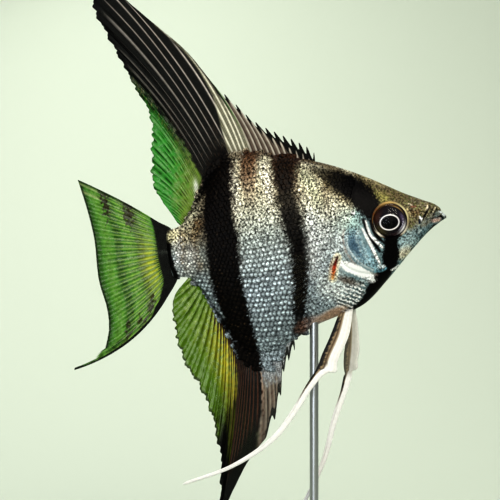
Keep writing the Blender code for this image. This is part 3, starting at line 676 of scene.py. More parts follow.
skinShape = {
    "stations": 317, "sides": 300, "headCrowding": 2.4, "capRings": 8,
    "snoutCap": 0.004, "tailCap": 0.012,
    "coatDepth": 0.12,  # mm that the skin lies inside the scales
    "socket": 1.1, "socketWall": (4.1, 4.62),  # mm: the eye socket's depth, and the radii of its wall
    "socketLip": (0.16, 5.15, 0.35),  # mm: height, radius and width
    "gillMiddle": (0.273, -0.044), "gillRadius": 0.137,  # the gill cover's rear edge is an arc about its middle
    "gillEdge": 0.34, "gillGutter": 0.16,  # mm: how far it stands out, and the gutter behind it
    "nostril": (0.097, -0.008), "nostrilPit": (0.25, 0.25), "nostrilRim": (0.12, 0.55, 0.2),
    # raised and sunken lines of head and breast: height in mm, softness, widths, strengths, line
    "creases": [
        (-0.12, 6, [4], [1], [(275, 30), (288, -30), (268, -68), (247, -105), (215, -160)]),  # behind the eye
        (0.16, 7, [6], [1], [(300, -12), (286, -46), (272, -75), (259, -104), (236, -148)]),
        (0.10, 6, [4], [1], [(288, 12), (276, -32), (257, -63), (235, -88)]),
        (-0.30, 3.5, [1], [1, 1, 0.8, 0.8, 0.8, 0.4],  # mouth
         [(12, -16), (13, 3), (22, 6), (31, 3), (46, -8), (56, -18)]),
        (0.14, 6, [6], [1], [(1, -8), (4, 4), (6, 12)]),  # lips
        (0.12, 6, [6], [1], [(18, -10), (33, -12), (45, -20)]),
        (-0.14, 5, [2], [1], [(58, 36), (70, 14), (83, -12), (100, -40), (105, -65)]),  # fold behind the maxilla
        (-0.12, 4, [2], [1], [(20, -19), (40.5, -23.1), (58, -38.5), (87, -65.5), (107, -85), (143, -104)]),  # jaw
        (0.3, 8, [12, 20, 14], [1], markings["pectoralRoot"]),
    ],
}


# Millimetres that the skin stands out: the socket's rim, gill cover, creases, nostril and the coat's depth.
def relief(back, up):
    radius = np.hypot(back - eyeBack, up - eyeUp) / mm
    lip, lipRadius, lipWidth = skinShape["socketLip"]
    raised = lip * bell(radius, lipRadius, lipWidth) - skinShape["socket"] * (
        1 - ease(*skinShape["socketWall"], radius))
    b, u = back - skinShape["gillMiddle"][0], up - skinShape["gillMiddle"][1]
    angle = np.degrees(np.arctan2(u, b))
    inside = (skinShape["gillRadius"] - np.hypot(b, u)) / mm - 0.8 * (1 - ease(-75, -35, angle))
    plate = skinShape["gillEdge"] * ease(-0.12, 0.12, inside) * (1 - 0.7 * ease(0.5, 5, inside))
    plate = plate - skinShape["gillGutter"] * bell(inside, -0.3, 0.3)
    raised = raised + ease(-112, -95, angle) * (1 - ease(38, 55, angle)) * plate
    for height, soft, width, strength, line in skinShape["creases"]:
        raised = raised + height * strokeMask(back, up, line, width, soft, strength)
    toNostril = np.hypot(back - skinShape["nostril"][0], up - skinShape["nostril"][1]) / mm
    pit, pitWidth = skinShape["nostrilPit"]
    rim, rimRadius, rimWidth = skinShape["nostrilRim"]
    raised = raised - pit * bell(toNostril, 0, pitWidth) + rim * bell(toNostril, rimRadius, rimWidth)
    rows, within = breastRows(back, up)
    raised = raised + 0.015 * lumps(back, up, 0.03) + 0.05 * within * rows
    return raised - skinShape["coatDepth"] * ease(-0.01, 0.01, back - neckOf(up))


# One skin for head, jaw, gill covers, trunk and tail stalk: the body's rings, closer together on the head,
# with the relief along the surface's normal and a rounded cap at snout and tail.
def makeSkin(material):
    spot = np.linspace(0, 1, 800)
    crowd = np.cumsum(np.where(spot < 0.43, skinShape["headCrowding"], 1.0))
    back = np.interp(np.linspace(crowd[0], crowd[-1], skinShape["stations"]), crowd, spot)
    turn = np.linspace(0, math.pi / 2, skinShape["capRings"] + 1)[1:]
    turn[-1] *= 0.97
    shrink = np.concatenate([np.cos(turn[::-1]), np.ones(len(back)), np.cos(turn)])[:, None]
    ahead = np.concatenate([-skinShape["snoutCap"] * np.sin(turn[::-1]), back,
                            1 + skinShape["tailCap"] * np.sin(turn)])[:, None]
    even = np.linspace(0, 2 * math.pi, skinShape["sides"], endpoint=False)[None, :]
    angle = even + 0.13 * np.sin(2 * even)  # closer together along the middle of the flank
    up, out = ringOf(np.clip(ahead, 0, 1), angle)
    # the upper lip is lower than the tip of the forehead, which overhangs it
    brow = ease(0.011, 0.0145, ahead)
    crest = 0.0085 * brow * (1 - ease(0.02, 0.075, ahead)) - 0.003 * (1 - brow)
    up = up + crest * ease(-0.2, 1.0, np.cos(angle))
    middle = (up.max(axis=1) + up.min(axis=1))[:, None] / 2
    up = middle + (up - middle) * shrink
    points = place(ahead, up, out * shrink)
    normal = np.cross(np.roll(points, -1, axis=1) - np.roll(points, 1, axis=1), np.gradient(points, axis=0))
    normal /= np.linalg.norm(normal, axis=-1)[..., None] + 1e-12
    if np.mean(normal[..., 1] * points[..., 1]) < 0:
        normal = -normal
    wide = np.broadcast_to(ahead, up.shape)
    keel = ease(0.0, 0.0012, np.abs(points[..., 1]))  # the relief fades out on the keels
    points = points + normal * (relief(wide, up) * 0.001 * (0.3 + 0.7 * keel))[..., None]
    makePiece("skin", points, ringFaces(*up.shape), material,
              {"markings": paint(wide, up), "speckle": speckleAt(wide, up)},
              replaces=("head", "lower_jaw", "gill_cover_right", "gill_cover_left", "trunk", "tail_stalk"))


scaleShape = {
    "spacing": 1.20, "rowSpacing": 1.38,  # mm, where the size is 1
    "size": [(0.25, 0.40, 0.55, 0.75, 0.90, 1.0), (0.62, 0.85, 1.0, 0.97, 0.80, 0.68)],
    "middleRow": [(0.25, 0.45, 0.7, 1.0), (0.05, 0.045, 0.02, 0.0)],
    "rows": (-38, 27), "lowerRowsRise": 0.12,
    "longer": 1.62,  # length over spacing: the part that the next scale covers, and the part that shows
    "wider": 1.22,
    "rise": 0.20, "thick": 0.05, "crown": 0.04, "sunk": 0.02,  # mm
    "ontoDorsal": [(0.45, 0.52, 0.68, 0.80, 0.88, 0.94), (0, 0.012, 0.024, 0.022, 0.012, 0)],
    "ontoAnal": [(0.585, 0.62, 0.68, 0.74, 0.79, 0.83, 0.93), (0, 0.028, 0.066, 0.070, 0.045, 0.014, 0)],
    "bareThroat": ((460, -300), (75, 28), -17),  # middle, radii and turn
    "alongCells": 5, "acrossCells": 6,
}


# Roof-tile rows: one plate for each root of a curved lattice, every other row shifted by half a step. A plate
# is a grid of shares along, 0 root to 1 rear edge, and across, -1 to 1; its rear edge is round and lifted.
def makeScales(side, sideways, material):
    shape = scaleShape
    sizeAt = lambda back: np.interp(back, *shape["size"])
    walk = np.linspace(0.25, 1.0, 500)
    steps = np.cumsum(np.gradient(walk) / (shape["spacing"] * mm * sizeAt(walk)))
    column, row = np.meshgrid(np.arange(int(steps[-1])), np.arange(*shape["rows"]))
    rootBack = np.interp(column + 0.5 * (row % 2), steps, walk)
    rising = shape["lowerRowsRise"] * np.clip(-row / 8, 0, 1)  # towards the tail
    rowAt = lambda back: (np.interp(back, *shape["middleRow"]) + row * shape["rowSpacing"] * mm * sizeAt(back)
                          + rising * (back - 0.65))
    rootUp = rowAt(rootBack)
    slope = (rowAt(rootBack + 0.01) - rowAt(rootBack - 0.01)) / 0.02
    level = levelOf(rootBack, rootUp)
    bare = patchMask(rootBack, rootUp, *shape["bareThroat"], 0.01)
    ragged = chance.uniform(-1, 1, rootBack.shape) * np.where(rootUp > 0, 0.006, 0.014)
    trimmed = np.where(rootBack < 0.46, 0.018, 0.006)
    highest = heightOf("backLine", rootBack) - trimmed + np.interp(rootBack, *shape["ontoDorsal"]) + ragged
    lowest = heightOf("bellyLine", rootBack) + 0.006 - np.interp(rootBack, *shape["ontoAnal"]) + ragged
    kept = (rootBack > neckOf(rootUp)) & (rootUp < highest) & (rootUp > lowest) & (rootBack < 0.982) & (bare < 0.5)
    rootBack, rootUp, slope, level = (a[kept][:, None, None] for a in (rootBack, rootUp, slope, level))
    count = len(rootBack)
    print("scales", side, count)

    jitter = lambda spread: chance.normal(0, spread, (count, 1, 1))
    size = sizeAt(rootBack) * (1 + jitter(0.04))
    s = np.linspace(0, 1, shape["alongCells"] + 1)[None, :, None]
    c = np.linspace(-1, 1, shape["acrossCells"] + 1)[None, None, :]
    roundEdge = 1 - 0.45 * (1 - np.sqrt(1 - 0.94 * c**2))
    reach = shape["spacing"] * shape["longer"] * mm * size * s * roundEdge
    wide = shape["rowSpacing"] * shape["wider"] / 2 * mm * size * c * (0.85 + 0.15 * np.sin(math.pi * s))
    heading = np.arctan(slope) + jitter(0.05)
    back = rootBack + jitter(0.09 * mm) + reach * np.cos(heading) - wide * np.sin(heading)
    up = rootUp + jitter(0.06 * mm) + reach * np.sin(heading) + wide * np.cos(heading)
    lift = shape["rise"] * size * s * (1 + jitter(0.10)) + shape["crown"] * (1 - c**2)
    lift = lift - shape["sunk"] - skinShape["coatDepth"] + 0.03 * c * jitter(0.5)
    top = flank(back, up, sideways, lift * 0.001)
    cells, rim = gridFaces(s.size, c.size)
    flat = lambda grid: np.broadcast_to(grid, lift.shape).reshape(count, -1)
    under = flank(flat(back)[:, rim], flat(up)[:, rim], sideways, (flat(lift)[:, rim] - shape["thick"]) * 0.001)
    points = np.concatenate([top.reshape(count, -1, 3), under], axis=1)

    below = s.size * c.size + np.arange(len(rim))
    walls = np.stack([rim, np.roll(rim, -1), np.roll(below, -1), below], axis=-1)
    first = (np.arange(count) * (below[-1] + 1))[:, None, None]
    faces = [(block[None] + first).reshape(-1, block.shape[1]) for block in (cells, walls, below[None, ::-1])]

    every = lambda grid: np.concatenate([flat(grid), flat(grid)[:, rim]], axis=1)
    speckle = speckleAt(rootBack, rootUp)
    rowsShow = np.clip((1 - speckle) / 0.55, 0, 1)  # 1 where the rows of scales show, 0 where speckles rule
    margin = ease(0.72, 1.0, np.hypot(c / 0.98, (s - 0.70) / 0.36))
    # spot: a painted highlight in the middle of each scale, of its own strength on each scale
    spot = 1 - ease(0.25, 0.85, np.hypot((c + jitter(0.12)) / 0.58, (s - 0.70 + jitter(0.04)) / 0.34))
    shine = 0.44 * (1 - margin) + 0.22 + 1.05 * spot * np.clip(1 + jitter(0.55), 0, 2.2)
    plain = 0.95 - 0.22 * margin
    shine = plain + (shine - plain) * rowsShow
    beyond = np.clip(level - 1, 0, None) - np.clip(-1 - level, 0, None)
    ring = 0.04 + 0.92 * np.arccos(np.clip(level, -1, 1)) / math.pi - 0.1 * beyond
    bakeMap = np.stack([every(rootBack + 0.003 * (s - 0.5)), every(ring + 0.0015 * c)], axis=-1)
    # relief is the shine: each scale's painted highlight and dark margin, with a little tone that differs at random
    makePiece("scales_" + side, points, faces, material,
              {"markings": paint(every(back), every(up)), "relief": every(shine * (1 + jitter(0.10))),
               "speckle": every(speckle)}, bakeMap)


# Rays run from root to margin as quadratic curves that bow ahead of the chord by a share of its length, and
# the sheet leans to one side by sway times the distance squared.
def finSheet(root, margin, bow, sway, columns):
    t = np.linspace(0, 1, columns)[None, :, None]
    chord = margin - root
    ahead = np.stack([-chord[:, 1], chord[:, 0], 0 * chord[:, 0]], axis=1) * np.sign(chord[:, 1])[:, None]
    control = (root + margin) / 2 + 2 * np.reshape(bow, (-1, 1)) * ahead
    centre = (1 - t) ** 2 * root[:, None] + 2 * t * (1 - t) * control[:, None] + t**2 * margin[:, None]
    reach = np.linalg.norm(centre - centre[:, :1], axis=2)
    centre[..., 2] += sway * reach**2
    return centre, t[..., 0]


# 1 on a ray and 0 between rays; a soft ray forks into two from the middle of the fin on.
def rayMask(number, t, width, fork=0):
    off = np.abs(number - np.round(number))
    return bell(off, fork * ease(0.35, 1, t), width)


# A fin as two faces, half its thickness to each side of the middle sheet. It lets light through twice, so each
# face takes the square root of what both let through.
def makeFin(name, centre, half, pigment, opacity, material):
    offset = np.stack([0 * half, half * mm, 0 * half], axis=-1)
    points = np.concatenate([place(*np.moveaxis(side, -1, 0)).reshape(-1, 3)
                             for side in (centre - offset, centre + offset)])
    seen = 1 - np.sqrt(1 - np.clip(opacity, 0, 0.9999))
    pigment = np.concatenate([pigment, seen[..., None]], axis=-1).reshape(-1, 4)
    makePiece(name, points, shellFaces(*half.shape), material, {"pigment": np.concatenate([pigment, pigment])},
              replaces=(name,))


# Root and margin of the dorsal or anal fin at each ray number: notched spines, then soft rays that end first
# along the leading edge and then along the trailing one, whose margin is torn to and fro.
def tallFin(shape):
    spines, lastLead, last = shape["spines"], shape["lastLead"], shape["spines"] + shape["soft"] - 1
    number = np.linspace(0, last, last * shape["perRay"] + 1)
    root = along(shape["root"], np.interp(number, [0, spines, last], [0, shape["spinyBase"], 1]))
    spineTips = np.array(shape["spineTips"]) / 1000
    tips = np.stack([np.interp(number, np.arange(spines), column) for column in spineTips.T], axis=1)
    steps = np.linspace(spines - 1, lastLead, len(shape["leadShares"]))
    lead = along(curveThrough(shape["leading"]), np.interp(number, steps, shape["leadShares"]))
    trail = along(curveThrough(shape["trailing"]), np.clip((number - lastLead) / (last - lastLead), 0, 1))
    row = number[:, None]
    margin = np.where(row <= spines - 1, tips, np.where(row <= lastLead, lead, trail))
    heading = np.gradient(margin, axis=0)
    heading = heading / (np.linalg.norm(heading, axis=1)[:, None] + 1e-9)
    reach = (margin - root) / np.linalg.norm(margin - root, axis=1)[:, None]
    part = number % 1
    notch = ease(0.02, 0.24, part) * (1 - ease(0.3, 1.0, part)) * (number < spines - 1)
    torn = shape["tear"] * lumps(margin[:, 0], margin[:, 1], 0.05)
    torn = torn * ease(lastLead + 0.5, lastLead + 3, number) * (1 - ease(last - 4, last - 1, number))
    margin = margin - (shape["notchDepth"] * notch)[:, None] * reach
    margin = margin + torn[:, None] * np.stack([-heading[:, 1], heading[:, 0]], axis=1)
    flat = lambda p: np.concatenate([p, np.zeros((len(p), 1))], axis=1)
    return row, flat(root), flat(margin)


# The dorsal or anal fin's grid of rays by steps from root to margin: ray numbers, steps, middle sheet, where the
# spines are, where the rays are, half its thickness in mm, and distances from the rays' tips.
def tallGrid(shape):
    number, root, margin = tallFin(shape)
    centre, t = finSheet(root, margin, shape["bow"], shape["sway"], shape["columns"])
    spiny = 1 - ease(shape["spines"] - 1.2, shape["spines"] - 0.6, number)
    ray = rayMask(number, t, 0.14, shape["fork"] * (1 - spiny))
    half = 0.12 - 0.04 * t + ray * (0.12 - 0.06 * t) + spiny * ray * shape["spineThick"] * (1 - t)
    half = half + 0.35 * (1 - ease(0.0, 0.10, t))
    return number, t, centre, spiny, ray, half, (1 - t) * np.linalg.norm(margin - root, axis=1)[:, None]


# The body's own colours, a little darker, for a fin's foot.
def bodyColour(back, up):
    return paint(np.clip(back, 0, 1), up)[..., :3] * 0.8


dorsalShape = {
    "root": edgeOf(fish["backLine"], 0.437, 0.952, -0.012, 1),
    "spineTips": [(437, 290), (461, 315), (486, 333), (513, 351), (540, 366), (570, 385),
                  (598, 403), (631, 428), (662, 460), (692, 501), (728, 544), (763, 585)],
    "leading": [(763, 585), (847, 722), (942, 829), (1033, 932), (1175, 1116)],
    "leadShares": [0, 0.12, 0.24, 0.38, 0.62, 1],
    "trailing": [(1175, 1116), (1147, 913), (1068, 686), (1003, 490), (1018, 370), (1028, 270),
                 (962, 110)],
    "spines": 12, "soft": 26, "lastLead": 16, "spinyBase": 0.40, "notchDepth": 0.030, "tear": 0.007,
    "perRay": 14, "columns": 96, "bow": 0.045, "sway": 0.05, "fork": 0.24, "spineThick": 0.08,
    "clear": "#43a03b", "black": "#060506", "cream": "#fbf7e6",
    "blackTo": 25.4,  # number of the ray behind the black lobe
    "creamLine": [(700, 325), (735, 459), (772, 570), (843, 708), (900, 783), (942, 828)],
    "creamWidth": [85, 58, 18, 6, 5, 4],
    "paleRays": [(12, 13, 14, 16, 18, 22, 24, 25), (0.0, 1.0, 0.95, 0.65, 0.5, 0.35, 0.25, 0.0)],
    "blackTips": [(0, 5, 8, 11), (0.056, 0.048, 0.036, 0.026)],
}


# The dorsal fin: spines in front, a black lobe of soft rays, and a clear part behind it. Its colours are coats
# on the grid of rays, each with its mask.
def makeDorsal(material):
    shape = dorsalShape
    number, t, centre, spiny, ray, half, fromTip = tallGrid(shape)
    back, up = centre[..., 0], centre[..., 1]
    wave = lumps(back, up, 0.05)
    offRay = np.abs(number - np.round(number))
    # rear part: clear, with fine dark rays between pale ones and one bright flash near the body
    patchy = np.clip(0.65 + 0.7 * lumps(back, up, 0.09), 0.1, 1)
    fine = rayMask(2 * number, t, 0.17)
    flash = bell(number, 28.6, 1.0) * bell(t, 0.13, 0.05) * (1 - fine)
    # black lobe, smoky and gold-grained towards the clear part, with pale rays a little apart
    behind = number - shape["blackTo"]
    black = ease(11.0, 11.6, number) * (1 - ease(-0.3, 0.7, behind + 0.9 * wave * ease(0.05, 0.4, t)))
    baseBand = (1 - ease(0.03, 0.07, t)) * ease(24, 26, number)
    rearEdge = ease(0.955, 0.985, t) * ease(23, 25, number)
    black = np.clip(black + baseBand + 0.3 * rearEdge, 0, 1)
    smoky = (1 - ease(0.0, 4.5, behind)) * ease(0.15, 0.5, t) * (number > 20)
    gold = ease(0.5, 1.1, lumps(back, up, 0.012)) * bell(behind, 1.0, 2.0) * ease(0.1, 0.3, t) * (number > 20)
    grains = ease(0.6, 1.3, lumps(back, up, 0.007)) * black
    grains = grains * np.maximum(1 - ease(0.10, 0.30, t), ease(20, 25, number) * (1 - ease(0.4, 0.7, t)))
    pale = bell(np.abs(number - 1.4 * np.round(number / 1.4)), 0, 0.09) * np.interp(number, *shape["paleRays"])
    pale = pale * ease(0.05, 0.20, t) * (1 - ease(0.80, 0.97, t))
    # cream rays in front of the lobe, which run out into a thin pale line along its leading edge
    cream = strokeMask(back, up, shape["creamLine"], shape["creamWidth"], 4) * (number > 9.5)
    cream = np.maximum(cream, ease(11.0, 11.6, number) * (number < 14) * (1 - ease(0.0, 0.3, t)))
    # spiny part: brown and pale stripes under short black tips
    dark = fromTip + 0.006 * wave - np.interp(number, *shape["blackTips"])
    colour = coated(linear(shape["clear"]), [
        ("#84a043", ease(0.75, 0.15, t + 0.1 * wave)),
        ("#16240f", fine * patchy),
        ("#a9d493", 0.4 * rayMask(2 * number + 0.5, t, 0.12) * patchy * ease(0.2, 0.5, t)),
        ("#f2f6ea", np.clip(1.4 * flash, 0, 1)),
        ("#28301f", smoky * np.clip(0.65 + 0.5 * wave, 0, 1)),
        ("#a99e6c", 0.8 * gold),
        (shape["black"], black),
        ("#6a5140", 0.7 * grains),
        ("#efe6de", pale),
        ("#8f8a70", cream),
        (shape["cream"], cream * bell(offRay, 0, 0.17)),
        ("#3a3226", cream * 0.7 * bell(offRay, 0.36, 0.09)),
        ("#6e6056", spiny),
        ("#ddd6c8", spiny * ray * 0.85),
        ("#2a1a14", 0.7 * spiny * rayMask(number + 0.32, t, 0.12)),
        ("#040404", spiny * (1 - ease(-0.010, 0.006, dark))),
    ])
    opacity = coated(0.92 + 0.04 * wave + 0.3 * fine * patchy, [
        (0.95, flash), (0.9, smoky * np.clip(0.6 + 0.5 * wave, 0, 1)), (0.985, black), (0.90 + 0.09 * ray, cream),
        (0.99, spiny),
    ])
    foot = 1 - ease(0.02, 0.12, t)
    colour = colour + (bodyColour(back, up - 0.012) - colour) * (foot * (1 - 0.5 * black))[..., None]
    opacity = coated(opacity, [(1, foot * (1 - ease(26, 28, number)))])
    makeFin("dorsal_fin", centre, half, colour, opacity, material)


analShape = {
    "root": edgeOf(fish["bellyLine"], 0.595, 0.948, -0.012, -1),
    "spineTips": [(606, -405), (632, -438), (655, -476), (677, -558), (711, -642),
                  (753, -704)],
    "leading": [(753, -704), (822, -771), (888, -862), (986, -1017)],
    "leadShares": [0, 0.2, 0.45, 0.72, 1],
    "trailing": [(986, -1017), (936, -860), (922, -700), (948, -534), (1005, -378),
                 (1023, -250), (1006, -150), (958, -102)],
    "spines": 6, "soft": 24, "lastLead": 9, "spinyBase": 0.30, "notchDepth": 0.030, "tear": 0.007,
    "perRay": 16, "columns": 104, "bow": 0.03, "sway": -0.04, "fork": 0.22, "spineThick": 0.10,
    "olive": "#688f1f", "yellow": "#dccb26", "black": "#080606",
    "blackLine": [(815, -260), (785, -395), (776, -483), (795, -575), (845, -688), (894.5, -820), (960, -970)],
    "blackWidth": [85, 80, 86, 110, 150, 160, 160],
    "blackSteps": [(9.5, 10.5, 12, 14.5, 18, 21), (0.36, 0.26, 0.17, 0.10, 0.06, -0.1)],  # by ray, at the root
    "thinLine": [(738, -394), (737, -468), (740, -540), (748, -619)],
    "shadeLine": [(823, -450), (845, -555), (872, -650), (900, -750)],
}


# The anal fin: short spines, a brown front, the black streak down to the tip and the olive part behind it.
def makeAnal(material):
    shape = analShape
    number, t, centre, spiny, ray, half, fromTip = tallGrid(shape)
    back, up = centre[..., 0], centre[..., 1]
    wave = lumps(back, up, 0.05)
    # rear part: olive yellow, with dark rays, pale lines between them and a dark margin
    yellow = (1 - ease(0.38, 0.80, t)) * (1 - ease(15, 24, number)) * np.clip(0.8 + 0.5 * wave, 0, 1)
    outer = ease(0.55, 0.75, t)
    fine = rayMask(number, t, 0.20) * (1 - outer) + rayMask(2 * number, t, 0.17) * outer
    dark = fine * ease(0.03, 0.2, t) * np.clip(0.85 + 0.2 * wave, 0.3, 1)
    pale = rayMask(number + 0.5, t, 0.22) * ease(0.1, 0.25, t) * (1 - ease(0.6, 0.85, t))
    edge = ease(0.965, 0.985, t)
    # brown front with cream streaks along its rays
    front = 1 - ease(7.0, 8.0, number + 1.6 * ease(0.2, 0.9, t))
    # dark olive behind the black streak that carries on bar three down to the fin's tip
    b = back + 0.004 * wave
    shade = strokeMask(b, up, shape["shadeLine"], [60, 100, 130, 130], 30, [0.5, 0.75, 0.9, 1])
    spike = rayMask(number, t, 0.28) * (number > 8.6) * ease(0.95, 0.8, t)
    black = strokeMask(b - 0.034 * spike, up, shape["blackLine"], shape["blackWidth"], 10,
                       [1, 1, 1, 0.97, 0.97, 1, 1])
    wedge = np.interp(number, *shape["blackSteps"]) * (0.35 + 0.65 * rayMask(2 * number, t, 0.2))
    black = np.maximum(black, (1 - ease(-0.02, 0.02, t - wedge)) * (number > 8.5))
    streak = rayMask(2 * number + 0.3, t, 0.15) * ease(0.04, 0.16, t) * (1 - ease(0.60, 0.8, t))
    thinLine = strokeMask(b, up, shape["thinLine"], [3, 5, 4, 2], 4, [0.9, 1, 0.8, 0.3])
    olive = rayMask(number + 0.5, t, 0.22) * ease(0.35, 0.5, t) * (1 - ease(0.70, 0.85, t)) * ease(9.5, 11, number)
    # under the last scales it is silvery, and fades out in grains
    frayed = fromTip + 0.012 * wave
    fromRoot = fromTip[:, :1] - fromTip
    sheath = (1 - ease(0.07, 0.15, fromRoot + 0.02 * wave)) * (1 - ease(7.6, 8.6, number))
    sheath = sheath * (1 - 0.97 * black) * ease(0.022, 0.040, frayed)
    grains = lumps(back, up, 0.012)
    colour = coated(linear(shape["olive"]), [
        (shape["yellow"], 0.95 * yellow),
        ("#1d2208", (0.85 - 0.25 * outer) * dark),
        ("#c8d860", 0.42 * pale * np.clip(0.6 - 0.3 * wave, 0, 1)),
        ("#1c2212", 0.7 * edge * ease(10, 13, number)),
        ("#7d7064", front),
        ("#6a4538", 0.6 * front * ease(0.2, 0.8, lumps(back, up, 0.03))),
        ("#c9bfae", 0.5 * front * rayMask(2 * number, t, 0.16) * (1 - ease(0.75, 0.95, t))),
        ("#2b2320", 0.5 * front * rayMask(2 * number + 0.5, t, 0.14) * ease(0.1, 0.3, t)),
        ("#24220f", shade * np.clip(0.8 + 0.35 * wave, 0, 1) * (1 - 0.45 * pale)),
        (shape["black"], black),
        ("#6b4331", 0.75 * black * streak),
        ("#e3c9b4", thinLine),
        ("#5c6a1e", 0.75 * black * olive),
        ("#080606", spiny * (1 - ease(0.024, 0.040, frayed))),
        ("#0d0a09", 0.85 * spiny * rayMask(number + 0.12, t, 0.10) * ease(0.3, 0.6, t)),
        ("#8e959c", sheath),
        ("#eef2f4", sheath * ease(0.2, 0.8, grains)),
        ("#4a3c3a", 0.7 * sheath * ease(-0.2, -0.8, grains)),
    ])
    opacity = coated(0.86 + 0.05 * wave + 0.25 * dark, [
        (0.95, edge), (0.96, front), (0.95, shade), (0.985, black), (0.96, spiny)])
    foot = 1 - ease(0.02, 0.10, t)
    covered = foot * (1 - black) * (1 - sheath) * (1 - ease(12, 14, number))
    colour = colour + (bodyColour(back, up + 0.012) - colour) * covered[..., None]
    opacity = coated(opacity, [(1, foot * (1 - ease(14, 16, number)))])
    makeFin("anal_fin", centre, half, colour, opacity, material)


tailShape = {
    "rays": 22, "perRay": 12, "columns": 110, "sway": 0.22, "root": 0.988, "rootHeight": 0.080,
    "trailing": [(1298, 313), (1280, 211), (1268, 101), (1272, -60), (1256, -180),
                 (1262, -245), (1284, -306)],
    "streamer": [(1405, -361), (1408, -368)],
    "bow": [(0, 4, 10, 17, 19, 20, 21), (0.022, 0.0, 0.0, 0.05, 0.07, 0.105, 0.115)],
    "green": "#5f9c3b", "bar": "#070606",
    # brown blots: ray, step, and their widths
    "blots": [(2.0, 0.50, 2.6, 0.065), (1.8, 0.76, 2.4, 0.055), (18.4, 0.42, 1.6, 0.05), (19.4, 0.60, 1.2, 0.05),
              (18.2, 0.75, 1.0, 0.04)],
}


# The tail fin: a fan of forked rays from the stalk's end, with the lowest ones drawn out into a streamer.
def makeTail(material):
    shape = tailShape
    last = shape["rays"] - 1
    number = np.linspace(0, last, last * shape["perRay"] + 1)
    edge = along(curveThrough(shape["trailing"]), np.linspace(0, 1, last - 1))
    edge = np.concatenate([edge, np.array(shape["streamer"]) / 1000])
    margin = np.stack([np.interp(number, np.arange(last + 1), column) for column in edge.T] + [0 * number], axis=1)
    high = np.interp(number, [0, last], [shape["rootHeight"], -shape["rootHeight"]])
    root = np.stack([np.full(number.size, shape["root"]), high, 0 * number], axis=1)
    bow = np.interp(number, *shape["bow"])
    centre, t = finSheet(root, margin, bow, shape["sway"], shape["columns"])
    number = number[:, None]
    ray = rayMask(number, t, 0.13, 0.25)
    outer = bell(number, 0, 0.8) + bell(number, last - 0.6, 1.2)
    half = 0.09 - 0.03 * t + ray * (0.19 - 0.10 * t) + 0.12 * np.clip(outer, 0, 1) * (1 - t)
    half = half + 0.55 * (1 - ease(0.0, 0.16, t))

    offRay = np.abs(number - np.round(number))
    wave, speckle = lumps(centre[..., 0], centre[..., 1], 0.045), lumps(centre[..., 0], centre[..., 1], 0.009)
    band = np.sin(2 * math.pi * (t * 3.6 + 0.10 * bell(number, 9, 7) - 0.35))  # cross-bands, bent in the middle
    bands = ease(0.25, 0.35, t)
    between = rayMask(2 * number + 0.5, t, 0.16) * ease(0.25, 0.4, t) * np.clip(0.6 + wave, 0.2, 1)
    sun = bell(offRay, 0, 0.30) * bell(t, 0.31, 0.11) * bell(number, 11.5, 5.5)
    topRays = (bell(number, 0.45, 0.13) + bell(number, 1.4, 0.15)) * ease(0.72, 0.85, t)
    # black: upper and lower rays, rear margin, and the bar on the stalk, whose edge is spiky along the rays
    spiky = 0.208 + 0.07 * rayMask(2 * number, t, 0.2) * bell(number, 12, 7) + 0.12 * ease(16, 20.5, number)
    spiky = spiky + 0.02 * (1 - ease(0, 3, number))
    black = 0.9 * bell(number, 0, 0.35) * ease(0.25, 0.4, t)
    for mask in (0.8 * ease(0.965, 0.985, t) * ease(0, 1, number), ease(last - 0.9, last - 0.5, number),
                 0.6 * ease(last - 2.2, last - 1.2, number) * ease(0.2, 0.6, wave),
                 1 - ease(-0.012, 0.012, t - spiky)):
        black = np.maximum(black, mask)
    blot = lambda at, step, wide, deep: bell(number + 0.9 * wave, at, wide) * bell(t + 0.03 * wave, step, deep)
    colour = coated(linear(shape["green"]), [
        ("#2c5220", 0.65 * ease(0.0, 0.9, band) * bands),
        ("#7db04a", 0.5 * ease(0.0, -0.9, band) * bands),
        ("#1b2c12", 0.55 * between),
        ("#ded83a", sun),
        ("#141c0b", 0.75 * bell(offRay, 0.5, 0.13) * ease(0.2, 0.3, t) * (1 - ease(0.45, 0.75, t))),
        ("#bcd07c", 0.8 * rayMask(2 * number, t, 0.13) * ease(0.2, 0.3, t) * (1 - ease(0.55, 1, t))),
        ("#d9dca4", 0.45 * topRays),
        ("#1d2a14", 0.35 * ease(0.3, 1.0, speckle)),
        *[("#33231a", 0.9 * ease(0.3, 0.65, blot(*spot) + 0.22 * speckle)) for spot in shape["blots"]],
        (shape["bar"], black),
    ])
    # the corner between the last full ray and the streamer is empty
    corner = np.interp(number, [last - 2, last - 1.5, last - 1], [1.0, 0.90, 0.82])
    empty = ease(last - 2.0, last - 1.9, number) * (1 - ease(last - 1.0, last - 0.85, number))
    empty = empty * ease(corner, corner + 0.03, t)
    opacity = coated(0.90 + 0.04 * wave + 0.12 * ray, [(0.985, black), (0, empty)])
    makeFin("tail_fin", centre, half, colour, opacity, material)


pectoralShape = {
    "rays": 12, "perRay": 8, "columns": 50, "reach": 0.235, "flare": 0.42, "lean": 0.5,
    "root": [(420, -100), (444, -165)], "headings": (14, -52),  # degrees above straight back
}


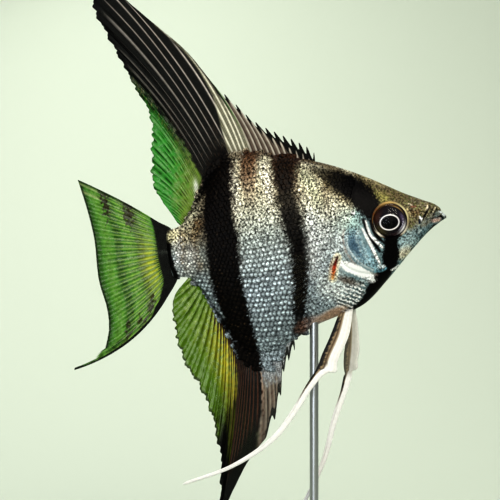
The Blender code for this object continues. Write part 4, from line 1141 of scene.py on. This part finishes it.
# A clear fan from the mark behind the gill cover: its rays turn from one heading to the other.
def makePectoral(side, sideways, material):
    shape = pectoralShape
    last = shape["rays"] - 1
    number = np.linspace(0, last, last * shape["perRay"] + 1)
    share = number / last
    back, up = (np.interp(share, [0, 1], column) / 1000 for column in zip(*shape["root"]))
    level = np.clip(levelOf(back, up), -1, 1)
    skinOut = heightOf("halfWidth", back) * (1 - level**2) ** 0.575
    root = np.stack([back, up, skinOut - 0.2 * mm], axis=1)
    reach = shape["reach"] * (0.62 + 0.38 * np.sin(math.pi * np.clip(share * 1.15 + 0.05, 0, 1)))
    heading = np.radians(np.interp(share, [0, 1], shape["headings"]))
    margin = root + np.stack([reach * np.cos(heading), reach * np.sin(heading), shape["flare"] * reach], axis=1)
    mirror = np.array([1, 1, sideways])
    centre, t = finSheet(root * mirror, margin * mirror, 0, -shape["lean"] * sideways, shape["columns"])
    ray = rayMask(number[:, None], t, 0.13, 0.2)
    half = 0.07 - 0.02 * t + ray * (0.14 - 0.09 * t) + 0.25 * (1 - ease(0, 0.1, t))
    colour = coated(linear("#dfe3d6"), [("#b9b69a", ray), ("#8a3a20", 1 - ease(0.02, 0.10, t))])
    opacity = 0.004 + 0.05 * ray * (1 - 0.6 * t) + 0.6 * (1 - ease(0.02, 0.08, t))
    makeFin("pectoral_fin_" + side, centre, half, colour, opacity, material)


pelvicShape = {
    "right": {
        "front": [(376, -285), (406, -380), (450, -450), (476, -490), (500, -501)],
        "rear": [(431, -298), (478, -381), (513, -436), (530, -467), (541, -483)],
        "feeler": [(527, -494), (570, -537), (622, -601), (715, -696), (873, -778),
                   (1071, -822)],
        "spread": (-0.022, -0.062, -0.086, -0.090), "paintedShade": 0.0, "tooth": (-0.012, -0.008),
    },
    "left": {
        "front": [(366, -282), (367, -380), (377, -460), (394, -496), (408, -516)],
        "rear": [(394, -290), (415, -392), (431, -455), (437, -500), (436, -520)],
        "feeler": [(424, -524), (449, -585), (490, -667), (555, -822), (636, -949),
                   (705, -1041)],
        # the far fin, whose blade gets painted shade
        "spread": (0.022, 0.072, 0.096, 0.104), "paintedShade": 0.4, "tooth": (-0.011, -0.004),
    },
    "bladeRings": 90, "feelerRings": 170, "sides": 36,
    "feelerWidth": [(0, 0.12, 0.4, 1), (0.031, 0.0245, 0.0210, 0.0095)],
    "white": "#fffefb", "brown": "#b09a78", "black": "#0a0808",
}


# A ribbon of rings from the throat to the feeler's tip: a blade between its front and rear edges, then a
# feeler about its middle line. Rings are thicker at the front, where the white ray runs.
def makePelvic(side, material):
    shape = pelvicShape[side]
    steps = np.linspace(0, 1, pelvicShape["bladeRings"])
    front, rear = along(curveThrough(shape["front"]), steps), along(curveThrough(shape["rear"]), steps)
    share = np.linspace(0.02, 1, pelvicShape["feelerRings"])
    line = along(curveThrough(shape["feeler"]), share)
    run = np.gradient(line, axis=0)
    run /= np.linalg.norm(run, axis=1)[:, None]
    half = np.interp(share, *pelvicShape["feelerWidth"])[:, None] / 2 * (1 - 0.7 * ease(0.97, 1, share))[:, None]
    front = front + (ease(0.80, 0.93, steps) * (1 - ease(0.94, 0.99, steps)))[:, None] * shape["tooth"]
    across = half * np.stack([-run[:, 1], run[:, 0]], axis=1)
    front, rear = np.concatenate([front, line - across]), np.concatenate([rear, line + across])
    out = np.concatenate([np.interp(steps, [0, 1], shape["spread"][:2]),
                          np.interp(share, [0, 0.5, 1], shape["spread"][1:])])
    blade = np.concatenate([np.ones(len(steps)), np.zeros(len(share))])[:, None]
    progress = np.concatenate([steps, 1 + share])[:, None]  # 0 to 1 on the blade, 1 to 2 on the feeler
    angle = np.linspace(0, 2 * math.pi, pelvicShape["sides"], endpoint=False)[None, :]
    c = np.cos(angle)  # 1 at the front edge, -1 at the rear
    middle = ((front + rear)[:, None] + (front - rear)[:, None] * c[..., None]) / 2
    back, up = middle[..., 0], middle[..., 1]
    thick = blade * (0.14 + 0.40 * bell(c, 0.62, 0.42) + 0.05 * np.cos(c * 16)) + (
        1 - blade) * 0.5 * np.interp(progress, [1, 2], [0.86, 0.56])
    points = place(back, up, out[:, None] + thick * mm * np.sin(angle))

    lines = 0.5 + 0.5 * np.cos(c * 17 + 0.6)
    lower = 0.5 * ease(0.75, 1.25, progress)
    brown = (1 - ease(-0.18, -0.02, c + lower)) * (1 - ease(1.05, 1.25, progress))
    frayed = c + 0.12 * lumps(back, up, 0.03) + 0.08 * lumps(back, up, 0.01)
    streak = bell(c, -0.45, 0.16) * ease(1.05, 1.15, progress) * (0.2 + 0.2 * np.sin(progress * 26))
    # painted shade: the far fin's blade is greyed, more towards its rear edge, with pale stripes over it near the front
    # edge
    paintedShade = shape["paintedShade"] * blade
    colour = coated(linear(pelvicShape["white"]), [
        ("#cfc9bc", 0.35 * blade * lines * ease(-0.2, 0.9, c)),
        (pelvicShape["brown"], brown),
        ("#3a2417", brown * ease(0.35, 0.75, lines) * 0.9),
        (pelvicShape["black"], brown * (1 - ease(-0.66, -0.46, frayed)) * ease(0.02, 0.1, progress)),
        ("#1a1210", 0.85 * brown * bell(c + lower, -0.13, 0.035) * ease(0.1, 0.3, progress)),
        ("#a09a8e", np.clip(streak, 0, 1)),
        ("#8d897c", paintedShade * (1.2 - 0.8 * ease(0.55, 0.9, c))),
        ("#f4f2ea", paintedShade * bell(c, 0.80, 0.10) * (0.5 + 0.5 * np.sin(progress * 120))),
        ("#4a3a30", 0.5 * (1 - ease(0.0, 0.05, progress)) * blade),
    ])
    pigment = np.concatenate([colour, np.ones((*colour.shape[:2], 1))], axis=-1)
    names = [f"pelvic_{part}_{side}" for part in ("blade", "feeler_upper", "feeler_lower")]
    makePiece("pelvic_fin_" + side, points, ringFaces(*colour.shape[:2]), material, {"pigment": pigment},
              replaces=names)


eyeShape = {
    "radius": 4.75, "domeHeight": 1.8, "irisHeight": 1.30, "rings": 90, "turns": 168,  # mm
    "pupilMiddle": (0.25, -0.45), "pupil": (2.40, 1.86), "ring": (2.74, 2.18),  # back and up, half axes
    "ringRise": 0.10, "lensRise": 0.16, "hiddenDepth": 1.2, "glassThick": 0.12,
    "rimRadius": 4.80, "rimThick": 0.36, "rimRise": 0.10, "rimSides": 20,
    "iris": "#17121a", "rim": "#6b563a",
}


# Colour of the iris at distances back and up of the eye's middle in mm, and how far out a point lies in the
# pupil's and the white ring's ellipses, where 1 is on them.
def irisColour(b, u):
    radius, angle = np.hypot(b, u), np.degrees(np.arctan2(u, -b))  # 0 forwards, 90 up
    pb, pu = b - eyeShape["pupilMiddle"][0], u - eyeShape["pupilMiddle"][1]
    inPupil, inRing = (np.hypot(pb / eyeShape[part][0], pu / eyeShape[part][1]) for part in ("pupil", "ring"))
    outer = ease(2.4, 3.4, radius)
    return coated(linear(eyeShape["iris"]), [
        ("#52352a", 0.7 * bell(angle, 158, 30) * outer),
        ("#52352a", 0.7 * bell(angle, -202, 30) * outer),
        ("#4b4630", 0.85 * bell(angle, -140, 28) * outer),
        ("#7b6a8c", 0.5 * bell(angle, 8, 18) * bell(radius, 3.3, 0.5)),
        ("#b59764", 0.9 * bell(radius, 4.02, 0.12) * bell(angle, 52, 24)),
        ("#8a6a42", 0.5 * bell(radius, 4.35, 0.16) * bell(angle, 95, 50)),
        # painted highlight: a bright white arc low on the front of the iris
        ("#fbf8fd", bell(radius, 4.05, 0.26) * bell(angle, -38, 22)),
        ("#d8d2e6", bell(radius, 3.50, 0.20) * bell(angle, -22, 26) * ease(-0.8, 0.1, lumps(b, u, 1.4))),
        ("#3a1620", 0.5 * bell(angle, -75, 20) * bell(radius, 3.9, 0.4)),
        ("#f7f2f4", ease(0.93, 1.04, inPupil) * (1 - ease(0.94, 1.05, inRing))),
        ("#050406", 1 - ease(0.90, 1.0, inPupil)),
    ]), inPupil, inRing


# A polar grid about the eye's axis: the painted front with its raised ring and lens, then the hidden back. A
# glass dome stands over it, and a golden rim, a torus that follows the skin, runs round it.
def makeEye(side, sideways, irisMaterial, glassMaterial):
    shape = eyeShape
    turn = np.linspace(0, 2 * math.pi, shape["turns"], endpoint=False)[None, :]
    outMm = eyeOut / mm

    def dome(radius, height):
        return outMm + height * np.sqrt(np.clip(1 - (radius / shape["radius"]) ** 2, 0, 1)) + 0 * turn

    def set3d(radius, out):
        return place(eyeBack + radius * np.cos(turn) * mm, eyeUp + radius * np.sin(turn) * mm, sideways * out * mm)

    radius = np.concatenate([np.linspace(0.02, 4.7, shape["rings"]), np.linspace(4.6, 0.05, 8)])[:, None]
    colour, inPupil, inRing = irisColour(radius * np.cos(turn), radius * np.sin(turn))
    out = dome(radius, shape["irisHeight"]) + shape["lensRise"] * (1 - ease(0.0, 0.95, inPupil))
    out = out + shape["ringRise"] * ease(0.92, 1.02, inPupil) * (1 - ease(0.96, 1.08, inRing))
    out[shape["rings"]:] = dome(radius[shape["rings"]:], -shape["hiddenDepth"])
    silver = 0.35 * ease(0.02, 0.3, colour[..., :1])
    makePiece("eye_" + side + "_ball", set3d(radius, out), ringFaces(*out.shape), irisMaterial,
              {"pigment": np.concatenate([colour, silver], axis=-1)}, replaces=("eye_" + side,))

    radius = np.concatenate([np.linspace(0.02, 4.68, 40), np.linspace(4.62, 0.03, 30)])[:, None]
    out = dome(radius, shape["domeHeight"])
    out[40:] -= shape["glassThick"]
    makePiece("eye_" + side + "_glass", set3d(radius, out), ringFaces(*out.shape), glassMaterial)

    tube = np.linspace(0, 2 * math.pi, shape["rimSides"], endpoint=False)[None, :]
    around = turn.T
    angle = np.degrees(np.arctan2(np.sin(around), -np.cos(around)))  # 0 forwards, 90 up
    thick = shape["rimThick"] * (
        1 - 0.45 * bell(angle, 180, 40) - 0.45 * bell(angle, -180, 40) - 0.3 * bell(angle, -90, 40))
    radius = shape["rimRadius"] + thick * np.cos(tube)
    points = flank(eyeBack + radius * np.cos(around) * mm, eyeUp + radius * np.sin(around) * mm, sideways,
                   (shape["rimRise"] + thick * np.sin(tube)) * 0.001)
    angle = angle + 0 * tube
    colour = coated(linear(shape["rim"]), [
        ("#c2a36a", bell(angle, 85, 30)),
        ("#cfc79c", bell(angle, 25, 38)),
        ("#7a4a2c", bell(angle, 150, 28) * (0.55 + 0.45 * np.sin(np.radians(angle) * 22))),
        ("#2a201b", bell(angle, -165, 28)),
        ("#f6efe2", bell(angle, -138, 13)),
        ("#c9c3b4", bell(angle, -42, 20)),
        ("#0b090b", ease(-128, -112, angle) * (1 - ease(-68, -54, angle))),
    ])
    pigment = np.concatenate([colour, np.full((*radius.shape, 1), 0.25)], axis=-1)
    index = np.arange(radius.size).reshape(radius.shape)
    makePiece("eye_" + side + "_rim", points, [tubeQuads(np.vstack([index, index[:1]]))], irisMaterial,
              {"pigment": pigment})


standShape = {
    "corner": 0.012, "edge": 0.0015, "foot": 0.0004,  # the base, in metres
    "bevel": 0.0002, "collarEdge": 0.0009, "collarGap": 0.0001, "sides": 64,  # rod and collar
}


# The base: a rounded oblong outline carried up a profile with a small chamfer below and a rounded edge above.
def makeStandBase(material):
    low, high = (np.array(corner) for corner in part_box("stand_base"))
    middle, half = (low + high)[:2] / 2, (high - low)[:2] / 2
    edge, foot = standShape["edge"], standShape["foot"]
    turn = np.linspace(0, math.pi / 2, 10)
    inset = np.concatenate([[foot, 0], edge * (1 - np.cos(turn))])
    height = np.concatenate([[low[2], low[2] + foot], high[2] - edge + edge * np.sin(turn)])
    angle = np.concatenate([np.linspace(0, math.pi / 2, 24) + i * math.pi / 2 for i in range(4)])
    corner = np.array([(1, 1), (-1, 1), (-1, -1), (1, -1)]).repeat(24, axis=0)
    radius = standShape["corner"] - inset[:, None]
    plan = middle + corner * (half - standShape["corner"]) + radius[..., None] * np.stack(
        [np.cos(angle), np.sin(angle)], axis=-1)
    high3d = np.broadcast_to(height[:, None, None], (len(height), len(angle), 1))
    base = makePiece("stand_base_wood", np.concatenate([plan, high3d], axis=-1), ringFaces(len(inset), len(angle)),
                     material, replaces=("stand_base",))
    base.data.set_sharp_from_angle(angle=math.radians(50))


# A turned part about the rod's axis: rings at these radii and heights.
def makeTurned(name, radii, heights, material, replaces):
    low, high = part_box("stand_rod")
    turn = np.linspace(0, 2 * math.pi, standShape["sides"], endpoint=False)[None, :]
    radii, heights = np.array(radii)[:, None], np.array(heights)[:, None]
    x, y = (low.x + high.x) / 2 + radii * np.cos(turn), (low.y + high.y) / 2 + radii * np.sin(turn)
    points = np.stack([x, y, heights + 0 * turn], axis=-1)
    piece = makePiece(name, points, ringFaces(*x.shape), material, replaces=replaces)
    piece.data.set_sharp_from_angle(angle=math.radians(35))


# The rod with a small bevel at its top, and the collar at its foot with a rounded upper edge.
def makeStandRod(material):
    bevel, edge, gap = standShape["bevel"], standShape["collarEdge"], standShape["collarGap"]
    low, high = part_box("stand_rod")
    rod = (high.x - low.x) / 2
    makeTurned("stand_rod_steel", [rod, rod, rod - bevel], [low.z, high.z - bevel, high.z], material,
               ("stand_rod",))
    low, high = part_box("stand_collar")
    wide = (high.x - low.x) / 2
    turn = np.linspace(0, math.pi / 2, 7)
    radii = np.concatenate([[wide - bevel, wide], wide - edge * (1 - np.cos(turn)), [rod + gap]])
    heights = np.concatenate([[low.z, low.z + bevel], high.z - edge + edge * np.sin(turn), [high.z]])
    makeTurned("stand_collar_steel", radii, heights, material, ("stand_collar",))


studio = {
    "lens": 186, "distance": 0.70, "aim": (-0.00686, 0.09065), "target": (0.5, -0.05),  # metres; shares
    "backdrop": "#c6cebe", "world": "#e6ecf0", "worldStrength": 0.21,
    "wall": 0.60, "bend": 0.35, "front": -2.0, "reach": 2.2,  # metres
    # lights: name, place, size, power in watts, colour
    "lights": [
        ("key", (0.16, -0.75, 0.50), 0.45, 3.1, "#fff7ea"),
        ("front", (-0.20, -0.75, 0.05), 0.50, 1.5, "#eef4ff"),
        ("rim", (-0.10, 0.45, 0.42), 0.40, 1.3, "#ffffff"),
        ("top", (0.0, 0.0, 0.75), 0.40, 1.4, "#ffffff"),
    ],
}


# Floor and wall in one sheet of matt paper with a round bend between them. From behind it is clear.
def makeBackdrop():
    turn = np.linspace(0, math.pi / 2, 24)
    wall, bend, reach = studio["wall"], studio["bend"], studio["reach"]
    y = np.concatenate([[studio["front"], wall - bend], wall - bend + bend * np.sin(turn), [wall]])
    z = np.concatenate([[0, 0], bend * (1 - np.cos(turn)), [reach]])
    points = np.stack(np.broadcast_arrays(np.linspace(-reach, reach, 12), y[:, None], z[:, None]), axis=-1)
    mesh = bpy.data.meshes.new("backdrop")
    mesh.from_pydata(points.reshape(-1, 3).tolist(), [], gridFaces(*points.shape[:2])[0][:, ::-1].tolist())
    mesh.shade_smooth()
    material, shader = newMaterial("mattPaper", Roughness=0.9, Base_Color=(*linear(studio["backdrop"]), 1))
    clear = addNode(material, "ShaderNodeBsdfTransparent")
    behind = addNode(material, "ShaderNodeNewGeometry")
    end = material.node_tree.nodes["Material Output"]
    addNode(material, "ShaderNodeMixShader", {0: (behind, "Backfacing"), 1: (shader, 0), 2: (clear, 0)},
            {0: (end, "Surface")})
    mesh.materials.append(material)
    backdrop = bpy.data.objects.new("backdrop", mesh)
    bpy.context.scene.collection.objects.link(backdrop)


# Turn of a lamp at spot that looks at target.
def look(spot, target):
    return (Vector(target) - Vector(spot)).to_track_quat("-Z", "Y").to_euler()


# Backdrop, pale even light from all round, four soft lamps, and a long lens that looks straight at the flank.
def makeStudio():
    scene = bpy.context.scene
    makeBackdrop()
    world = scene.world or bpy.data.worlds.new("studio")
    scene.world = world
    world.use_nodes = True
    sky = world.node_tree.nodes["Background"].inputs
    sky["Color"].default_value = (*linear(studio["world"]), 1)
    sky["Strength"].default_value = studio["worldStrength"]
    for name, spot, size, power, hexColour in studio["lights"]:
        light = bpy.data.lights.new(name, "AREA")
        light.shape, light.size, light.energy = "DISK", size, power
        light.color = linear(hexColour)
        lamp = bpy.data.objects.new(name, light)
        scene.collection.objects.link(lamp)
        lamp.location = spot
        lamp.rotation_euler = look(spot, place(*studio["target"], 0))
    lens = bpy.data.cameras.new("camera")
    lens.lens, lens.sensor_width = studio["lens"], 36
    camera = bpy.data.objects.new("camera", lens)
    scene.collection.objects.link(camera)
    camera.location = (studio["aim"][0], -studio["distance"], studio["aim"][1])
    camera.rotation_euler = (math.pi / 2, 0, 0)
    scene.camera = camera
    scene.view_settings.view_transform = "Standard"
    scene.view_settings.look = "High Contrast"


skinMaterial, scaleMaterial, filmMaterial = lacqueredSkin(), pearlScale(), finFilm()
irisMaterial, glassMaterial, whiteMaterial = paintedIris(), clearGlass(), whiteEnamel()
makeSkin(skinMaterial)
print("skin made")
for side, sideways in (("right", -1), ("left", 1)):
    makeScales(side, sideways, scaleMaterial)
    makeEye(side, sideways, irisMaterial, glassMaterial)
    makePectoral(side, sideways, filmMaterial)
    makePelvic(side, whiteMaterial)
print("scales, eyes and paired fins made")
makeDorsal(filmMaterial)
makeAnal(filmMaterial)
makeTail(filmMaterial)
print("dorsal, anal and tail fin made")
makeStandBase(ebonisedWood())
makeStandRod(drawnSteel())
makeStudio()
